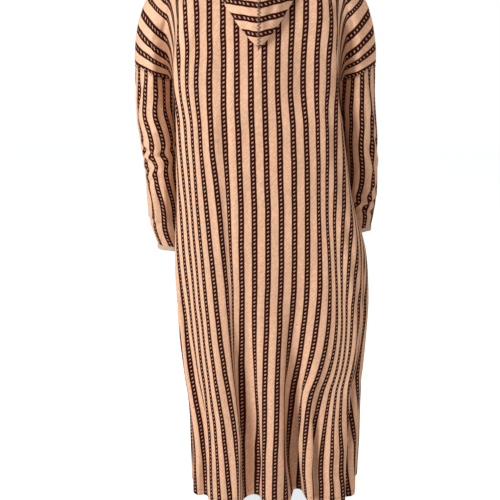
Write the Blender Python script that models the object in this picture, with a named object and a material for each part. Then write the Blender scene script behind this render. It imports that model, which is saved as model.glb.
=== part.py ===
# Hooded wool robe, worn: a straight tube of two striped panels that drop over the shoulders,
# two sleeves, a pointed hood hanging down the back and a narrow edging at each cuff.
# The wearer's left is +X, the front is -Y and the origin is at the base of the neck.

import bpy
import bmesh
import numpy as np

# Driving dimensions, in metres
GARMENT = "hooded_robe"
WALL = 0.002              # thickness of the wool cloth
HALF_GAP = 0.0002         # from each piece's edge to the line of its seam
SHARPEST_MITRE = 0.3      # keeps the corner of a piece from running off where two seams meet
HALF_PANEL = 0.41         # cloth from the middle of a panel to its side edge
SEAT_OF_CREASE = 0.245    # cloth from the middle of a panel to the bottom of the armhole crease
LIP_OF_CREASE = 0.200     # cloth from the middle of a panel to the edge above that crease
ARMPIT = -0.300           # height of the bottom of the armhole
SEAM_RISE = 0.038         # how much higher the armhole seam is on the outside of the arm
HEM = -1.385
SIDE_Y = -0.005           # depth of the shoulder lines and side seams
RIGHT_SHOULDER = 0.950    # the right shoulder is held this much closer in than the left
CUFF_EDGING = 0.010
SLIT_FOOT = -0.205        # lower end of the neck slit in the front panel
SLIT_GAP = 0.0030         # width of the slit at the neck
SETTLE = 0.10             # below the armpit, the height over which the cloth finds its hang
SHOULDER_BLADE = 0.65     # how much of the middle's depth the back keeps half way to the crease
SLEEVE_TURN = 0.3         # share of a sleeve's length over which it turns from armhole to tube
ROW_SPREAD = 1.25         # above 1, the rows of the skirt are closer near the armpit
MERGE = 0.00001           # points of neighbouring pieces closer than this are one point
NEARBY = 0.004            # step along the oval that gives its direction
SHARP_EDGE = 60.0         # degrees between faces, above which their edge is shaded sharp

# Numbers of cells: across the middle of a panel, across each of its outer parts, and down
BACK_CELLS = 32
FRONT_CELLS = 22
OUTER_CELLS = 6
YOKE_CELLS = 7
SKIRT_CELLS = 15
SLEEVE_CELLS = 10
HOOD_CELLS = 9

# Slices through the shoulders and chest, from the neck ring down to the armpit, left half:
# height, middle of the back, edge above the crease x and y, bottom of the crease x and y,
# back of the arm x and y, outside of the arm x, middle of the front
YOKE = np.array([
    (0.000, 0.066, 0.050, 0.050, 0.066, 0.034, 0.077, 0.018, 0.083, -0.078),
    (-0.030, 0.088, 0.076, 0.075, 0.110, 0.055, 0.137, 0.030, 0.152, -0.090),
    (-0.060, 0.104, 0.112, 0.090, 0.158, 0.068, 0.186, 0.042, 0.210, -0.098),
    (-0.100, 0.122, 0.150, 0.106, 0.195, 0.080, 0.235, 0.055, 0.266, -0.106),
    (-0.150, 0.136, 0.176, 0.112, 0.206, 0.078, 0.250, 0.066, 0.290, -0.114),
    (-0.200, 0.144, 0.190, 0.110, 0.209, 0.062, 0.257, 0.070, 0.301, -0.120),
    (-0.250, 0.148, 0.197, 0.102, 0.210, 0.042, 0.259, 0.072, 0.306, -0.124),
    (-0.300, 0.150, 0.200, 0.092, 0.2105, 0.022, 0.259, 0.070, 0.307, -0.127)])

# Ovals that the skirt hangs round, before its folds: height, left side x, right side x,
# back y, front y, y where it is widest, x where the middle of the back hangs
SKIRT = np.array([
    (-0.20, 0.202, -0.204, 0.150, -0.125, 0.030, 0.002),
    (-0.32, 0.201, -0.196, 0.152, -0.130, 0.070, 0.001),
    (-0.45, 0.203, -0.212, 0.152, -0.138, 0.065, -0.002),
    (-0.60, 0.206, -0.238, 0.150, -0.146, 0.055, -0.004),
    (-0.72, 0.211, -0.272, 0.150, -0.152, 0.045, -0.006),
    (-0.85, 0.208, -0.283, 0.152, -0.158, 0.030, -0.007),
    (-1.02, 0.198, -0.274, 0.155, -0.166, 0.020, -0.008),
    (-1.17, 0.181, -0.268, 0.158, -0.172, 0.020, -0.008),
    (-1.45, 0.177, -0.263, 0.160, -0.178, 0.020, -0.008)])
BACK_SQUARENESS = 2.9
FRONT_SQUARENESS = 2.2

# Largest folds. Place is cloth from the middle of the panel towards the wearer's left,
# at the start, half way and at the hem. A ridge stands out and a trough, with a minus, goes in.
# name, panel, place at start, half way, at hem, start height, height, width left, width right
FOLDS = [
    ("long ridge on the left", "back", 0.125, 0.125, 0.130, -0.10, 0.014, 0.100, 0.050),
    ("trough left of the middle", "back", 0.045, 0.040, 0.030, -0.60, -0.030, 0.055, 0.045),
    ("ridge at the middle", "back", -0.030, -0.035, -0.045, -0.75, 0.012, 0.035, 0.040),
    ("trough right of the middle", "back", -0.080, -0.100, -0.135, -0.70, -0.048, 0.060, 0.055),
    ("low ridge on the right", "back", -0.150, -0.170, -0.195, -0.65, 0.010, 0.035, 0.025),
    ("notch on the right", "back", -0.190, -0.205, -0.222, -1.00, -0.012, 0.022, 0.022),
    ("slanting ridge on the right", "back", -0.165, -0.255, -0.300, -0.25, 0.016, 0.065, 0.045),
    ("side fold on the left", "back", 0.255, 0.235, 0.225, -0.55, 0.012, 0.045, 0.030),
    ("trough behind the left side", "back", 0.210, 0.195, 0.190, -0.75, -0.012, 0.030, 0.030),
    ("side fold on the right", "back", -0.335, -0.345, -0.350, -0.70, 0.014, 0.040, 0.035),
    ("front fold on the left", "front", 0.120, 0.135, 0.150, -0.25, 0.020, 0.070, 0.060),
    ("front trough on the left", "front", 0.060, 0.065, 0.070, -0.60, -0.034, 0.055, 0.055),
    ("front ridge at the middle", "front", -0.010, -0.010, -0.015, -0.45, 0.016, 0.050, 0.045),
    ("front trough on the right", "front", -0.080, -0.085, -0.095, -0.65, -0.036, 0.060, 0.050),
    ("front fold on the right", "front", -0.130, -0.160, -0.175, -0.25, 0.022, 0.060, 0.060),
    ("front side fold on the left", "front", 0.270, 0.270, 0.275, -0.60, 0.018, 0.055, 0.050),
    ("front side trough on the right", "front", -0.245, -0.255, -0.265, -0.75, -0.020, 0.045, 0.045),
    ("front side fold on the right", "front", -0.330, -0.330, -0.335, -0.70, 0.014, 0.045, 0.040)]
STEEPEST = 0.94           # rise of a fold's flank for each metre of cloth, at most
FOLD_FULL = 0.85          # share of its length at which a fold has its whole height
GATHER_FROM = 0.42        # from here outwards, as a share of half a panel, the sides are gathered
GATHER_FULL = 0.75        # and from here by as much as at the seam

# Sleeves, each from the armhole to the cuff: height, middle x and y, half width and half depth
SLEEVES = {
    "left": np.array([
        (-0.300, 0.2590, -0.005, 0.0485, 0.0750),
        (-0.370, 0.2580, -0.002, 0.0480, 0.0690),
        (-0.450, 0.2525, 0.002, 0.0460, 0.0640),
        (-0.530, 0.2480, -0.006, 0.0410, 0.0600),
        (-0.600, 0.2465, -0.028, 0.0400, 0.0560),
        (-0.680, 0.2440, -0.062, 0.0395, 0.0500),
        (-0.745, 0.2300, -0.090, 0.0380, 0.0455)]),
    "right": np.array([
        (-0.300, -0.2460, -0.005, 0.0460, 0.0750),
        (-0.370, -0.2510, -0.003, 0.0440, 0.0690),
        (-0.450, -0.2590, 0.000, 0.0420, 0.0630),
        (-0.530, -0.2650, -0.012, 0.0400, 0.0580),
        (-0.600, -0.2690, -0.040, 0.0395, 0.0540),
        (-0.650, -0.2690, -0.078, 0.0390, 0.0500),
        (-0.700, -0.2660, -0.110, 0.0380, 0.0455)])}

# Hood, hanging as a pouch behind the neck
HOOD_TIP = -0.211         # height of its point
HOOD_SPREAD = 0.150       # half width of the pouch where it leaves the shoulders
HOOD_LEAN = 0.005         # the pouch hangs this much towards the wearer's left at the shoulders
HOOD_TAPER = 1.33         # how the pouch narrows: 1 is a straight V
HOOD_CLEAR = 0.007        # from the back panel to the pouch
HOOD_SWELL = 0.040        # depth of the open pouch
HOOD_ROLL = 0.020         # rise of the cloth as it rolls over the neckline
HOOD_FLARE = 1.24         # how much wider the rim is than the neckline
HOOD_GAPE = 0.030         # how far the rim stands open behind the neck
HOOD_SHOULDER_LIFT = 1.1  # rise of its sides over the shoulders, for each metre of clearance
HOOD_RIM = 0.038          # height of the rim behind the neck
HOOD_STAND = 0.045        # height of the rim at the front of the neck
NECK_ROLL_OUT = 0.010     # how far the cloth rolls out past the neckline
HOOD_INNER_RISE = 0.3     # lift of the pouch's inner side half way down, for each metre of roll
POUCH_END = 0.72          # the pouch begins to end here, in quarter turns from the back
COLLAR_START = 1.02       # and from here round the front there is only the standing rim
LYING_ROWS = 0.12         # share of the rows over which the pouch comes clear of the back

# Rows of the pouch, as shares of the way: neckline, roll, inner side, fold, outer side, rim
POUCH_ROWS = np.array([0.0, 0.11, 0.33, 0.55, 0.78, 1.0])

# Each piece of the garment, with the mean colour of its wool
COLOURS = {
    "back": (0.62, 0.46, 0.35), "front": (0.66, 0.50, 0.38),
    "sleeve_left": (0.70, 0.53, 0.40), "sleeve_right": (0.58, 0.43, 0.32),
    "hood_left": (0.74, 0.58, 0.44), "hood_right": (0.68, 0.52, 0.39),
    "cuff_edging_left": (0.80, 0.72, 0.62), "cuff_edging_right": (0.80, 0.72, 0.62)}
PIECES = list(COLOURS)
ROUGHNESS = 0.95


def ease(start, end, x):
    """Nought before start and one after end, with a smooth step between."""
    t = np.clip((x - start) / (end - start), 0.0, 1.0)
    return t * t * (3.0 - 2.0 * t)


def curve_through(knots, values, at):
    """A smooth curve through the values at rising knots, read at the places wanted."""
    slopes = np.gradient(values, knots, axis=0)
    i = np.clip(np.searchsorted(knots, at) - 1, 0, len(knots) - 2)
    step = knots[i + 1] - knots[i]
    t = (at - knots[i]) / step
    shape = t.shape + (1,) * (values.ndim - 1)
    t, step = t.reshape(shape), step.reshape(shape)
    return (values[i] * (2 * t**3 - 3 * t**2 + 1) + values[i + 1] * (3 * t**2 - 2 * t**3)
            + slopes[i] * step * (t**3 - 2 * t**2 + t) + slopes[i + 1] * step * (t**3 - t**2))


def down_table(table, z):
    """The other columns of a table whose first column is a falling height, at height z."""
    return curve_through(table[::-1, 0], table[::-1, 1:], np.atleast_1d(z))


def hump(x, left, right):
    """A rounded hump, one high at nought, reaching down to nought at -right and at left."""
    t = np.clip(np.where(x > 0, x / left, -x / right), 0.0, 1.0)
    return 0.5 + 0.5 * np.cos(np.pi * t)


def panel_columns(cells):
    """Cloth places across a panel: even through the middle and even in each outer part."""
    middle = np.linspace(-SEAT_OF_CREASE, SEAT_OF_CREASE, cells + 1)
    outer = np.linspace(SEAT_OF_CREASE, HALF_PANEL, OUTER_CELLS + 1)[1:]
    return np.concatenate([-outer[::-1], middle, outer])


def yoke_slice(z, side, cloth):
    """Points of one panel across the shoulders and over the arms, at one height.

    The curve runs through the middle of the panel, the edge and the bottom of the armhole
    crease and the back of the arm, to the shoulder line. Its cloth places are its knots."""
    row = down_table(YOKE, z)[0]
    depth = 1.0 if side == "back" else (row[8] - SIDE_Y) / (row[0] - SIDE_Y)
    half = np.array([
        (0.0, row[0]), (0.5 * row[1], (1.0 - SHOULDER_BLADE) * row[2] + SHOULDER_BLADE * row[0]),
        (row[1], row[2]), (row[3], row[4]), (row[5], row[6]), (row[7], SIDE_Y),
        (row[5], 2 * SIDE_Y - row[6])])
    over_arm = 0.5 * (SEAT_OF_CREASE + HALF_PANEL)
    places = np.array([0.0, 0.5 * LIP_OF_CREASE, LIP_OF_CREASE, SEAT_OF_CREASE,
                       over_arm, HALF_PANEL, 2 * HALF_PANEL - over_arm])
    half[:, 1] = SIDE_Y + (half[:, 1] - SIDE_Y) * depth
    mirror = half[:0:-1] * (-RIGHT_SHOULDER, 1.0)
    knots = np.concatenate([-places[:0:-1], places])
    return curve_through(knots, np.concatenate([mirror, half]), cloth)


def armpit_row(side, cloth):
    """The top edge of a panel's skirt: the chest, then straight under each arm to the seam."""
    xy = yoke_slice(ARMPIT, side, cloth)
    seat = yoke_slice(ARMPIT, side, np.array([-SEAT_OF_CREASE, SEAT_OF_CREASE]))
    beyond = np.clip((np.abs(cloth) - SEAT_OF_CREASE) / (HALF_PANEL - SEAT_OF_CREASE), 0.0, 1.0)
    start = seat[(cloth > 0).astype(int)]
    under_arm = np.column_stack([start[:, 0], start[:, 1] + (SIDE_Y - start[:, 1]) * beyond])
    return np.where(beyond[:, None] > 0, under_arm, xy)


def yoke_points(side, cloth, rows):
    """Points of a panel from the armpit up to the neck, row by row."""
    grid = []
    for z in rows:
        xy = yoke_slice(z, side, cloth)
        outer = ease(SEAT_OF_CREASE, HALF_PANEL, np.abs(cloth))
        rise = SEAM_RISE * outer * (z / ARMPIT) ** 3
        grid.append(np.column_stack([xy, z + rise]))
    return np.array(grid)


def fold_height(side, cloth, z):
    """How far the folds move the cloth outwards at each place across a panel, at one height."""
    total = np.zeros_like(cloth)
    for _, panel, start, half_way, at_hem, top, height, left, right in FOLDS:
        if panel != side:
            continue
        along = (z - top) / (HEM - top)
        place = curve_through(np.array([0.0, 0.5, 1.0]), np.array([start, half_way, at_hem]),
                              np.array([np.clip(along, 0.0, 1.0)]))[0]
        total += height * ease(0.0, FOLD_FULL, along) * hump(cloth - place, left, right)
    return total


def oval(z, places=720):
    """Points of the skirt's oval at one height, from the middle of the back round by the left."""
    left, right, back, front, widest, _ = down_table(SKIRT, z)[0]
    turn = np.linspace(0.0, 2 * np.pi, places + 1)
    across, deep = np.sin(turn), np.cos(turn)
    power = 2.0 / np.where(deep > 0, BACK_SQUARENESS, FRONT_SQUARENESS)
    middle = 0.5 * (left + right)
    x = middle + 0.5 * (left - right) * np.sign(across) * np.abs(across) ** power
    y = widest + np.where(deep > 0, back - widest, front - widest) * np.abs(deep) ** power
    return np.column_stack([x, y])


def skirt_loop(z, samples=1312):
    """Cloth places once round the skirt at one height, with their points.

    The cloth is not stretched: where a fold rises, it moves on round the oval by what is left
    of its length. What the oval cannot take is gathered by the side seams."""
    place = np.linspace(-HALF_PANEL, 3 * HALF_PANEL, samples + 1)
    step = place[1] - place[0]
    on_back = place <= HALF_PANEL
    height = np.where(on_back, fold_height("back", place, z),
                      fold_height("front", 2 * HALF_PANEL - place, z))
    slope = np.clip(np.gradient(height, step), -STEEPEST, STEEPEST)
    forward = np.sqrt(1.0 - slope**2)
    from_middle = np.abs(np.where(on_back, place, 2 * HALF_PANEL - place))
    near_seam = ease(GATHER_FROM * HALF_PANEL, GATHER_FULL * HALF_PANEL, from_middle)
    ring = oval(z)
    travelled = np.concatenate([[0.0], np.cumsum(np.linalg.norm(np.diff(ring, axis=0), axis=1))])
    spare = np.sum(forward[1:]) * step - travelled[-1]
    forward = forward * (1.0 - near_seam * spare / (np.sum((forward * near_seam)[1:]) * step))
    arc = np.concatenate([[0.0], np.cumsum(forward[1:] * step)])
    hang_x = down_table(SKIRT, z)[0][5]
    rolled = np.roll(ring[:-1], len(ring) // 4, axis=0)[: len(ring) // 2]
    rolled_way = np.roll(travelled[:-1], len(ring) // 4)[: len(ring) // 2]
    rolled_way = np.where(rolled_way > 0.5 * travelled[-1], rolled_way - travelled[-1], rolled_way)
    start = np.interp(hang_x, rolled[:, 0], rolled_way)
    middle_arc = np.interp(0.0, place, arc)
    way = np.mod(arc - middle_arc + start, travelled[-1])
    x, y = np.interp(way, travelled, ring[:, 0]), np.interp(way, travelled, ring[:, 1])
    ahead, behind = np.mod(way + NEARBY, travelled[-1]), np.mod(way - NEARBY, travelled[-1])
    dx = np.interp(ahead, travelled, ring[:, 0]) - np.interp(behind, travelled, ring[:, 0])
    dy = np.interp(ahead, travelled, ring[:, 1]) - np.interp(behind, travelled, ring[:, 1])
    length = np.hypot(dx, dy)
    x, y = x - height * dy / length, y + height * dx / length
    return place, np.column_stack([x, y])


def skirt_points(side, cloth, rows):
    """Points of a panel from the armpit down to the hem, row by row."""
    seat = armpit_row(side, cloth)
    on_loop = cloth if side == "back" else 2 * HALF_PANEL - cloth
    grid = []
    for z in rows:
        place, loop = skirt_loop(z)
        xy = np.column_stack([np.interp(on_loop, place, loop[:, 0]),
                              np.interp(on_loop, place, loop[:, 1])])
        hang = ease(ARMPIT, ARMPIT - SETTLE, z)
        grid.append(np.column_stack([seat + (xy - seat) * hang, np.full(len(cloth), z)]))
    return np.array(grid)


def sleeve_points(side, ring):
    """Points of a sleeve from its armhole ring down to the cuff, row by row."""
    table = SLEEVES[side]
    first = table[0]
    turn = np.arctan2((ring[:, 1] - first[2]) / first[4], (ring[:, 0] - first[1]) / first[3])
    cuff = table[-1, 0]
    grid = [ring]
    for k in range(1, SLEEVE_CELLS + 1):
        down = k / SLEEVE_CELLS
        z = ring[:, 2] + (cuff - ring[:, 2]) * down
        row = down_table(table, np.clip(z, cuff, first[0]))
        tube = np.column_stack([row[:, 0] + row[:, 2] * np.cos(turn),
                                row[:, 1] + row[:, 3] * np.sin(turn), z])
        start = ring + (0.0, 0.0, 1.0) * (z - ring[:, 2])[:, None]
        grid.append(start + (tube - start) * ease(0.0, SLEEVE_TURN, down))
    return np.array(grid)


def back_surface(x, z):
    """Depth of the back panel at a place seen from behind, above the armpit."""
    cloth = np.linspace(-HALF_PANEL, HALF_PANEL, 165)
    depths = []
    for one_x, one_z in zip(x, z):
        xy = yoke_slice(np.clip(one_z, ARMPIT, 0.0), "back", cloth)
        inside = (cloth > -SEAT_OF_CREASE) & (cloth < SEAT_OF_CREASE)
        depths.append(np.interp(one_x, xy[inside, 0], xy[inside, 1], left=SIDE_Y, right=SIDE_Y))
    return np.array(depths)


def hood_points(ring):
    """Points of the hood from the neck ring to its rim, row by row.

    Behind the neck each column rolls over, goes down the back to the fold of the pouch and up
    again to the rim. Round the front it only stands up from the neckline."""
    turn = np.arctan2(ring[:, 0], ring[:, 1] - SIDE_Y)
    side = np.clip(turn / (0.5 * np.pi), -1.0, 1.0)
    behind = 1.0 - ease(POUCH_END, COLLAR_START, np.abs(turn) / (0.5 * np.pi))
    out = ring[:, :2] - (0.0, SIDE_Y)
    out = out / np.linalg.norm(out, axis=1)[:, None]
    roll = np.column_stack([ring[:, :2] + out * NECK_ROLL_OUT, ring[:, 2] + HOOD_ROLL])
    fold_x = HOOD_SPREAD * side
    fold_z = HOOD_TIP + (HOOD_ROLL - HOOD_TIP) * np.abs(side) ** HOOD_TAPER
    fold = np.column_stack([fold_x + HOOD_LEAN * np.abs(side),
                            back_surface(fold_x, fold_z) + HOOD_CLEAR + WALL, fold_z])
    inner = 0.5 * (roll + fold)
    inner[:, 2] += HOOD_INNER_RISE * HOOD_ROLL
    inner[:, 1] = back_surface(inner[:, 0], inner[:, 2]) + HOOD_CLEAR
    rim_height = HOOD_STAND + (HOOD_RIM - HOOD_STAND) * behind
    gape = HOOD_GAPE * behind * (1.0 - side**2)
    rim = np.column_stack([ring[:, 0] * HOOD_FLARE, ring[:, 1] * HOOD_FLARE + gape,
                           ring[:, 2] + rim_height])
    outer = 0.5 * (fold + rim)
    outer[:, 1] += HOOD_SWELL * (1.0 - side**2)
    stand = np.column_stack([ring[:, :2] + out * NECK_ROLL_OUT, ring[:, 2] + 0.5 * rim_height])
    rows = np.linspace(0.0, 1.0, HOOD_CELLS + 1)
    pouch = curve_through(POUCH_ROWS, np.array([ring, roll, inner, fold, outer, rim]), rows)
    collar = curve_through(np.array([0.0, 0.5, 1.0]), np.array([ring, stand, rim]), rows)
    hood = collar + (pouch - collar) * behind[None, :, None]
    clear = HOOD_CLEAR * ease(0.0, LYING_ROWS, rows)
    for row, lift in zip(hood[1:], clear[1:]):
        lift = lift * (1.0 + side**2)
        sunk = back_surface(row[:, 0], row[:, 2] - HOOD_ROLL * side**2) + lift - row[:, 1]
        row[:, 1] += np.maximum(sunk, 0.0) * behind
        row[:, 2] += lift * HOOD_SHOULDER_LIFT * np.abs(side) ** 3 * behind
    return hood


def add_cells(cloth, piece, grid):
    """Adds a grid of points to the garment's surface as four-sided faces of one piece."""
    verts = [[cloth.verts.new(point) for point in row] for row in grid]
    label = cloth.faces.layers.int["piece"]
    for upper, lower in zip(verts[:-1], verts[1:]):
        for a, b, c, d in zip(upper[:-1], upper[1:], lower[1:], lower[:-1]):
            cloth.faces.new((a, b, c, d))[label] = PIECES.index(piece)


def drape():
    """The whole garment as one surface without thickness, each face labelled with its piece."""
    cloth = bmesh.new()
    cloth.faces.layers.int.new("piece")
    yoke_rows = ARMPIT * np.linspace(1.0, 0.0, YOKE_CELLS + 1)
    skirt_rows = ARMPIT + (HEM - ARMPIT) * np.linspace(0.0, 1.0, SKIRT_CELLS + 1) ** ROW_SPREAD
    yoke, skirt = {}, {}
    for side, cells in (("back", BACK_CELLS), ("front", FRONT_CELLS)):
        across = panel_columns(cells)
        yoke[side] = yoke_points(side, across, yoke_rows)
        skirt[side] = skirt_points(side, across, skirt_rows)
        middle = slice(OUTER_CELLS, OUTER_CELLS + cells + 1)
        skirt[side][0, middle] = yoke[side][0, middle]
        add_cells(cloth, side, skirt[side])
    add_cells(cloth, "back", yoke["back"])

    # The front is slit down its middle from the neck
    centre = OUTER_CELLS + FRONT_CELLS // 2
    half_front = {"right": yoke["front"][:, : centre + 1].copy(),
                  "left": yoke["front"][:, centre:].copy()}
    gap = 0.5 * SLIT_GAP * np.clip((yoke_rows - SLIT_FOOT) / -SLIT_FOOT, 0.0, 1.0)
    half_front["right"][:, -1, 0] -= gap
    half_front["left"][:, 0, 0] += gap

    for side, sign in (("left", 1), ("right", -1)):
        add_cells(cloth, "front", half_front[side])
        back_yoke, back_skirt = yoke["back"][:, ::sign], skirt["back"][:, ::sign]
        front_yoke, front_skirt = yoke["front"][:, ::sign], skirt["front"][:, ::sign]
        outer = slice(-OUTER_CELLS - 1, None)
        ring = np.concatenate([
            back_yoke[0, outer], front_yoke[0, outer][::-1][1:],
            front_skirt[0, outer][1:], back_skirt[0, outer][::-1][1:]])
        sleeve = sleeve_points(side, ring)
        add_cells(cloth, "sleeve_" + side, sleeve)
        edging = sleeve[-1] - (0.0, 0.0, CUFF_EDGING)
        add_cells(cloth, "cuff_edging_" + side, np.array([sleeve[-1], edging]))
        neck_front = half_front[side][-1][::-sign]
        neck = np.concatenate([back_yoke[-1, back_yoke.shape[1] // 2:], neck_front[1:]])
        add_cells(cloth, "hood_" + side, hood_points(neck))

    bmesh.ops.remove_doubles(cloth, verts=cloth.verts, dist=MERGE)
    bmesh.ops.recalc_face_normals(cloth, faces=cloth.faces)
    cloth.verts.index_update()
    cloth.normal_update()
    rearmost = max(cloth.faces, key=lambda face: face.calc_center_median().y)
    if rearmost.normal.y < 0:
        bmesh.ops.reverse_faces(cloth, faces=cloth.faces)
        cloth.normal_update()
    return cloth


def stand_back(vert, own):
    """The small move that takes a corner of a piece away from the seams it lies on."""
    inwards = []
    for edge in vert.link_edges:
        mine = [face for face in edge.link_faces if face in own]
        if len(mine) == 1 and len(edge.link_faces) == 2:
            along = (edge.verts[1].co - edge.verts[0].co).normalized()
            into = mine[0].calc_center_median() - vert.co
            inwards.append((into - along * into.dot(along)).normalized())
    if not inwards:
        return vert.co * 0.0
    first, last = inwards[0], inwards[-1]
    return (first + last) * (HALF_GAP / max(1.0 + first.dot(last), SHARPEST_MITRE))


def add_piece(name, cloth, collection):
    """Cuts one piece out of the garment's surface and gives it the thickness of the cloth.

    Its wall lies inwards of the surface, and its edge stands back a little from each seam. The
    strips along a seam's two edges are divided alike, so that they stay apart."""
    label = cloth.faces.layers.int["piece"]
    own = [face for face in cloth.faces if face[label] == PIECES.index(name)]
    own_set = set(own)
    verts = sorted({vert for face in own for vert in face.verts}, key=lambda vert: vert.index)
    number = {vert: i for i, vert in enumerate(verts)}
    outer, inner = [], []
    for vert in verts:
        point = vert.co + stand_back(vert, own_set)
        outer.append(point)
        inner.append(point - vert.normal * WALL)
    count = len(verts)
    faces = [[number[vert] for vert in face.verts] for face in own]
    faces += [[count + i for i in reversed(face)] for face in faces]
    for face in own:
        for loop in face.loops:
            if all(other is face or other not in own_set for other in loop.edge.link_faces):
                start, end = loop.vert, loop.link_loop_next.vert
                a, b, c, d = number[end], number[start], count + number[start], count + number[end]
                faces += [[a, b, c], [a, c, d]] if start.index < end.index else [[a, b, d], [b, c, d]]
    mesh = bpy.data.meshes.new(name)
    mesh.from_pydata([tuple(point) for point in outer + inner], [], faces)
    mesh.shade_smooth()
    mesh.set_sharp_from_angle(angle=np.radians(SHARP_EDGE))
    mesh.materials.append(wool(name))
    piece = bpy.data.objects.new(name, mesh)
    collection.objects.link(piece)
    return piece


def wool(name):
    """The plain wool of one piece, in its mean colour."""
    material = bpy.data.materials.new(name + "_wool")
    material.use_nodes = True
    shader = material.node_tree.nodes["Principled BSDF"]
    shader.inputs["Base Color"].default_value = (*COLOURS[name], 1.0)
    shader.inputs["Roughness"].default_value = ROUGHNESS
    shader.inputs["Metallic"].default_value = 0.0
    return material


for leftover in list(bpy.data.objects):
    bpy.data.objects.remove(leftover, do_unlink=True)
garment = bpy.data.collections.new(GARMENT)
bpy.context.scene.collection.children.link(garment)
whole = drape()
for piece_name in PIECES:
    add_piece(piece_name, whole, garment)
whole.free()
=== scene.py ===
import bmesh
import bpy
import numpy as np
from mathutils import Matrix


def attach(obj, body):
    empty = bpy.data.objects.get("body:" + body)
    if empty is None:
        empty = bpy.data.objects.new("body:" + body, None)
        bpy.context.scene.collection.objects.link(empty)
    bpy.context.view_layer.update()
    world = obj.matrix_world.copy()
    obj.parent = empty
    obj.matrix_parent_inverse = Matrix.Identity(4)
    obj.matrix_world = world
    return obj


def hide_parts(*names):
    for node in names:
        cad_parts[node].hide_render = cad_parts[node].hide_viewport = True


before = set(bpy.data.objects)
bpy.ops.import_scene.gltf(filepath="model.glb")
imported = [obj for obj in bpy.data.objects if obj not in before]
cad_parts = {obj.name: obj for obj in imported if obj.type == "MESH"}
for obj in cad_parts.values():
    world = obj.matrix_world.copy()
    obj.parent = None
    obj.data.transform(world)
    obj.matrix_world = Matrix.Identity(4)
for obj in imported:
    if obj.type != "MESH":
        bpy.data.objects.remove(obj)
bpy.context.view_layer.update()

# Hooded robe of striped wool in its worn, hollow form, seen from behind. The pieces follow in the
# order in which they are sewn: back, front, sleeves, cuff edgings, hood, then the stitching.
# Metres, +Z up. The front is -Y and the left is +X, which is at the left of the picture too.


# Back panel
# One straight length of handwoven striped wool, 0.82 m wide, hanging from the shoulder line to the
# hem. It drops over the shoulders on to the arms, folds in behind each armhole and hangs in long
# folds below. The cloth is worked out at every place from its cut: across by up and down.
CLOTH = 0.0020             # thickness of the wool
HALF_PANEL = 0.41          # from the middle of a panel to its side edge
CREASE_SEAT = 0.245        # from the middle to the bottom of the armhole crease
CREASE_LIP = 0.200         # from the middle to the edge above that crease
ARMPIT = -0.300
SEAM_RISE = 0.038          # the armhole seam is this much higher on the outside of the arm
HEM = -1.385
SIDE_Y = -0.005            # depth of the shoulder lines and side seams
RIGHT_SHOULDER = 0.950     # the right shoulder is this much closer in
SETTLE = 0.10              # height below the armpit in which the cloth finds its hang
SEAM_DEPTH = 0.0013        # a sewn seam draws the cloth in by this much
ON_TO_ARM = (0.215, 0.275)    # from the middle to where the cloth leaves the body for the arm
STRIPE_PITCH = 0.0325      # from one dark band to the next
MIDDLE_CELLS, OUTER_CELLS, YOKE_CELLS, SKIRT_CELLS = 156, 36, 54, 150
LEFT_AND_RIGHT = {"left": 1, "right": -1}

# Slices through the shoulders: height, middle of the back, lip x and y, crease x and y,
# back of the arm x and y, outside of the arm x, middle of the front
YOKE = np.array([
    (0.000, 0.066, 0.050, 0.050, 0.066, 0.034, 0.077, 0.018, 0.083, -0.078),
    (-0.030, 0.088, 0.076, 0.075, 0.110, 0.055, 0.137, 0.030, 0.152, -0.090),
    (-0.060, 0.104, 0.112, 0.090, 0.158, 0.068, 0.186, 0.042, 0.210, -0.098),
    (-0.100, 0.122, 0.150, 0.106, 0.195, 0.080, 0.235, 0.055, 0.266, -0.106),
    (-0.150, 0.136, 0.176, 0.112, 0.206, 0.078, 0.250, 0.066, 0.290, -0.114),
    (-0.200, 0.144, 0.190, 0.110, 0.209, 0.062, 0.257, 0.070, 0.301, -0.120),
    (-0.250, 0.148, 0.197, 0.102, 0.210, 0.042, 0.259, 0.072, 0.306, -0.124),
    (-0.300, 0.150, 0.200, 0.092, 0.2105, 0.022, 0.259, 0.070, 0.307, -0.127)])

# Ovals that the skirt hangs round: height, left x, right x, back y, front y, widest y, hang x
SKIRT = np.array([
    (-0.20, 0.202, -0.204, 0.150, -0.125, 0.030, 0.002),
    (-0.32, 0.201, -0.196, 0.152, -0.130, 0.070, 0.001),
    (-0.45, 0.203, -0.212, 0.152, -0.138, 0.065, -0.002),
    (-0.60, 0.206, -0.238, 0.150, -0.146, 0.055, -0.004),
    (-0.72, 0.211, -0.272, 0.150, -0.152, 0.045, -0.006),
    (-0.85, 0.208, -0.283, 0.152, -0.158, 0.030, -0.007),
    (-1.02, 0.198, -0.274, 0.155, -0.166, 0.020, -0.008),
    (-1.17, 0.181, -0.268, 0.158, -0.172, 0.020, -0.008),
    (-1.45, 0.177, -0.263, 0.160, -0.178, 0.020, -0.008)])
BACK_SQUARENESS, FRONT_SQUARENESS = 2.9, 2.2
STEEPEST = 0.94            # rise of a fold's flank for each metre of cloth, at most

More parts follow.
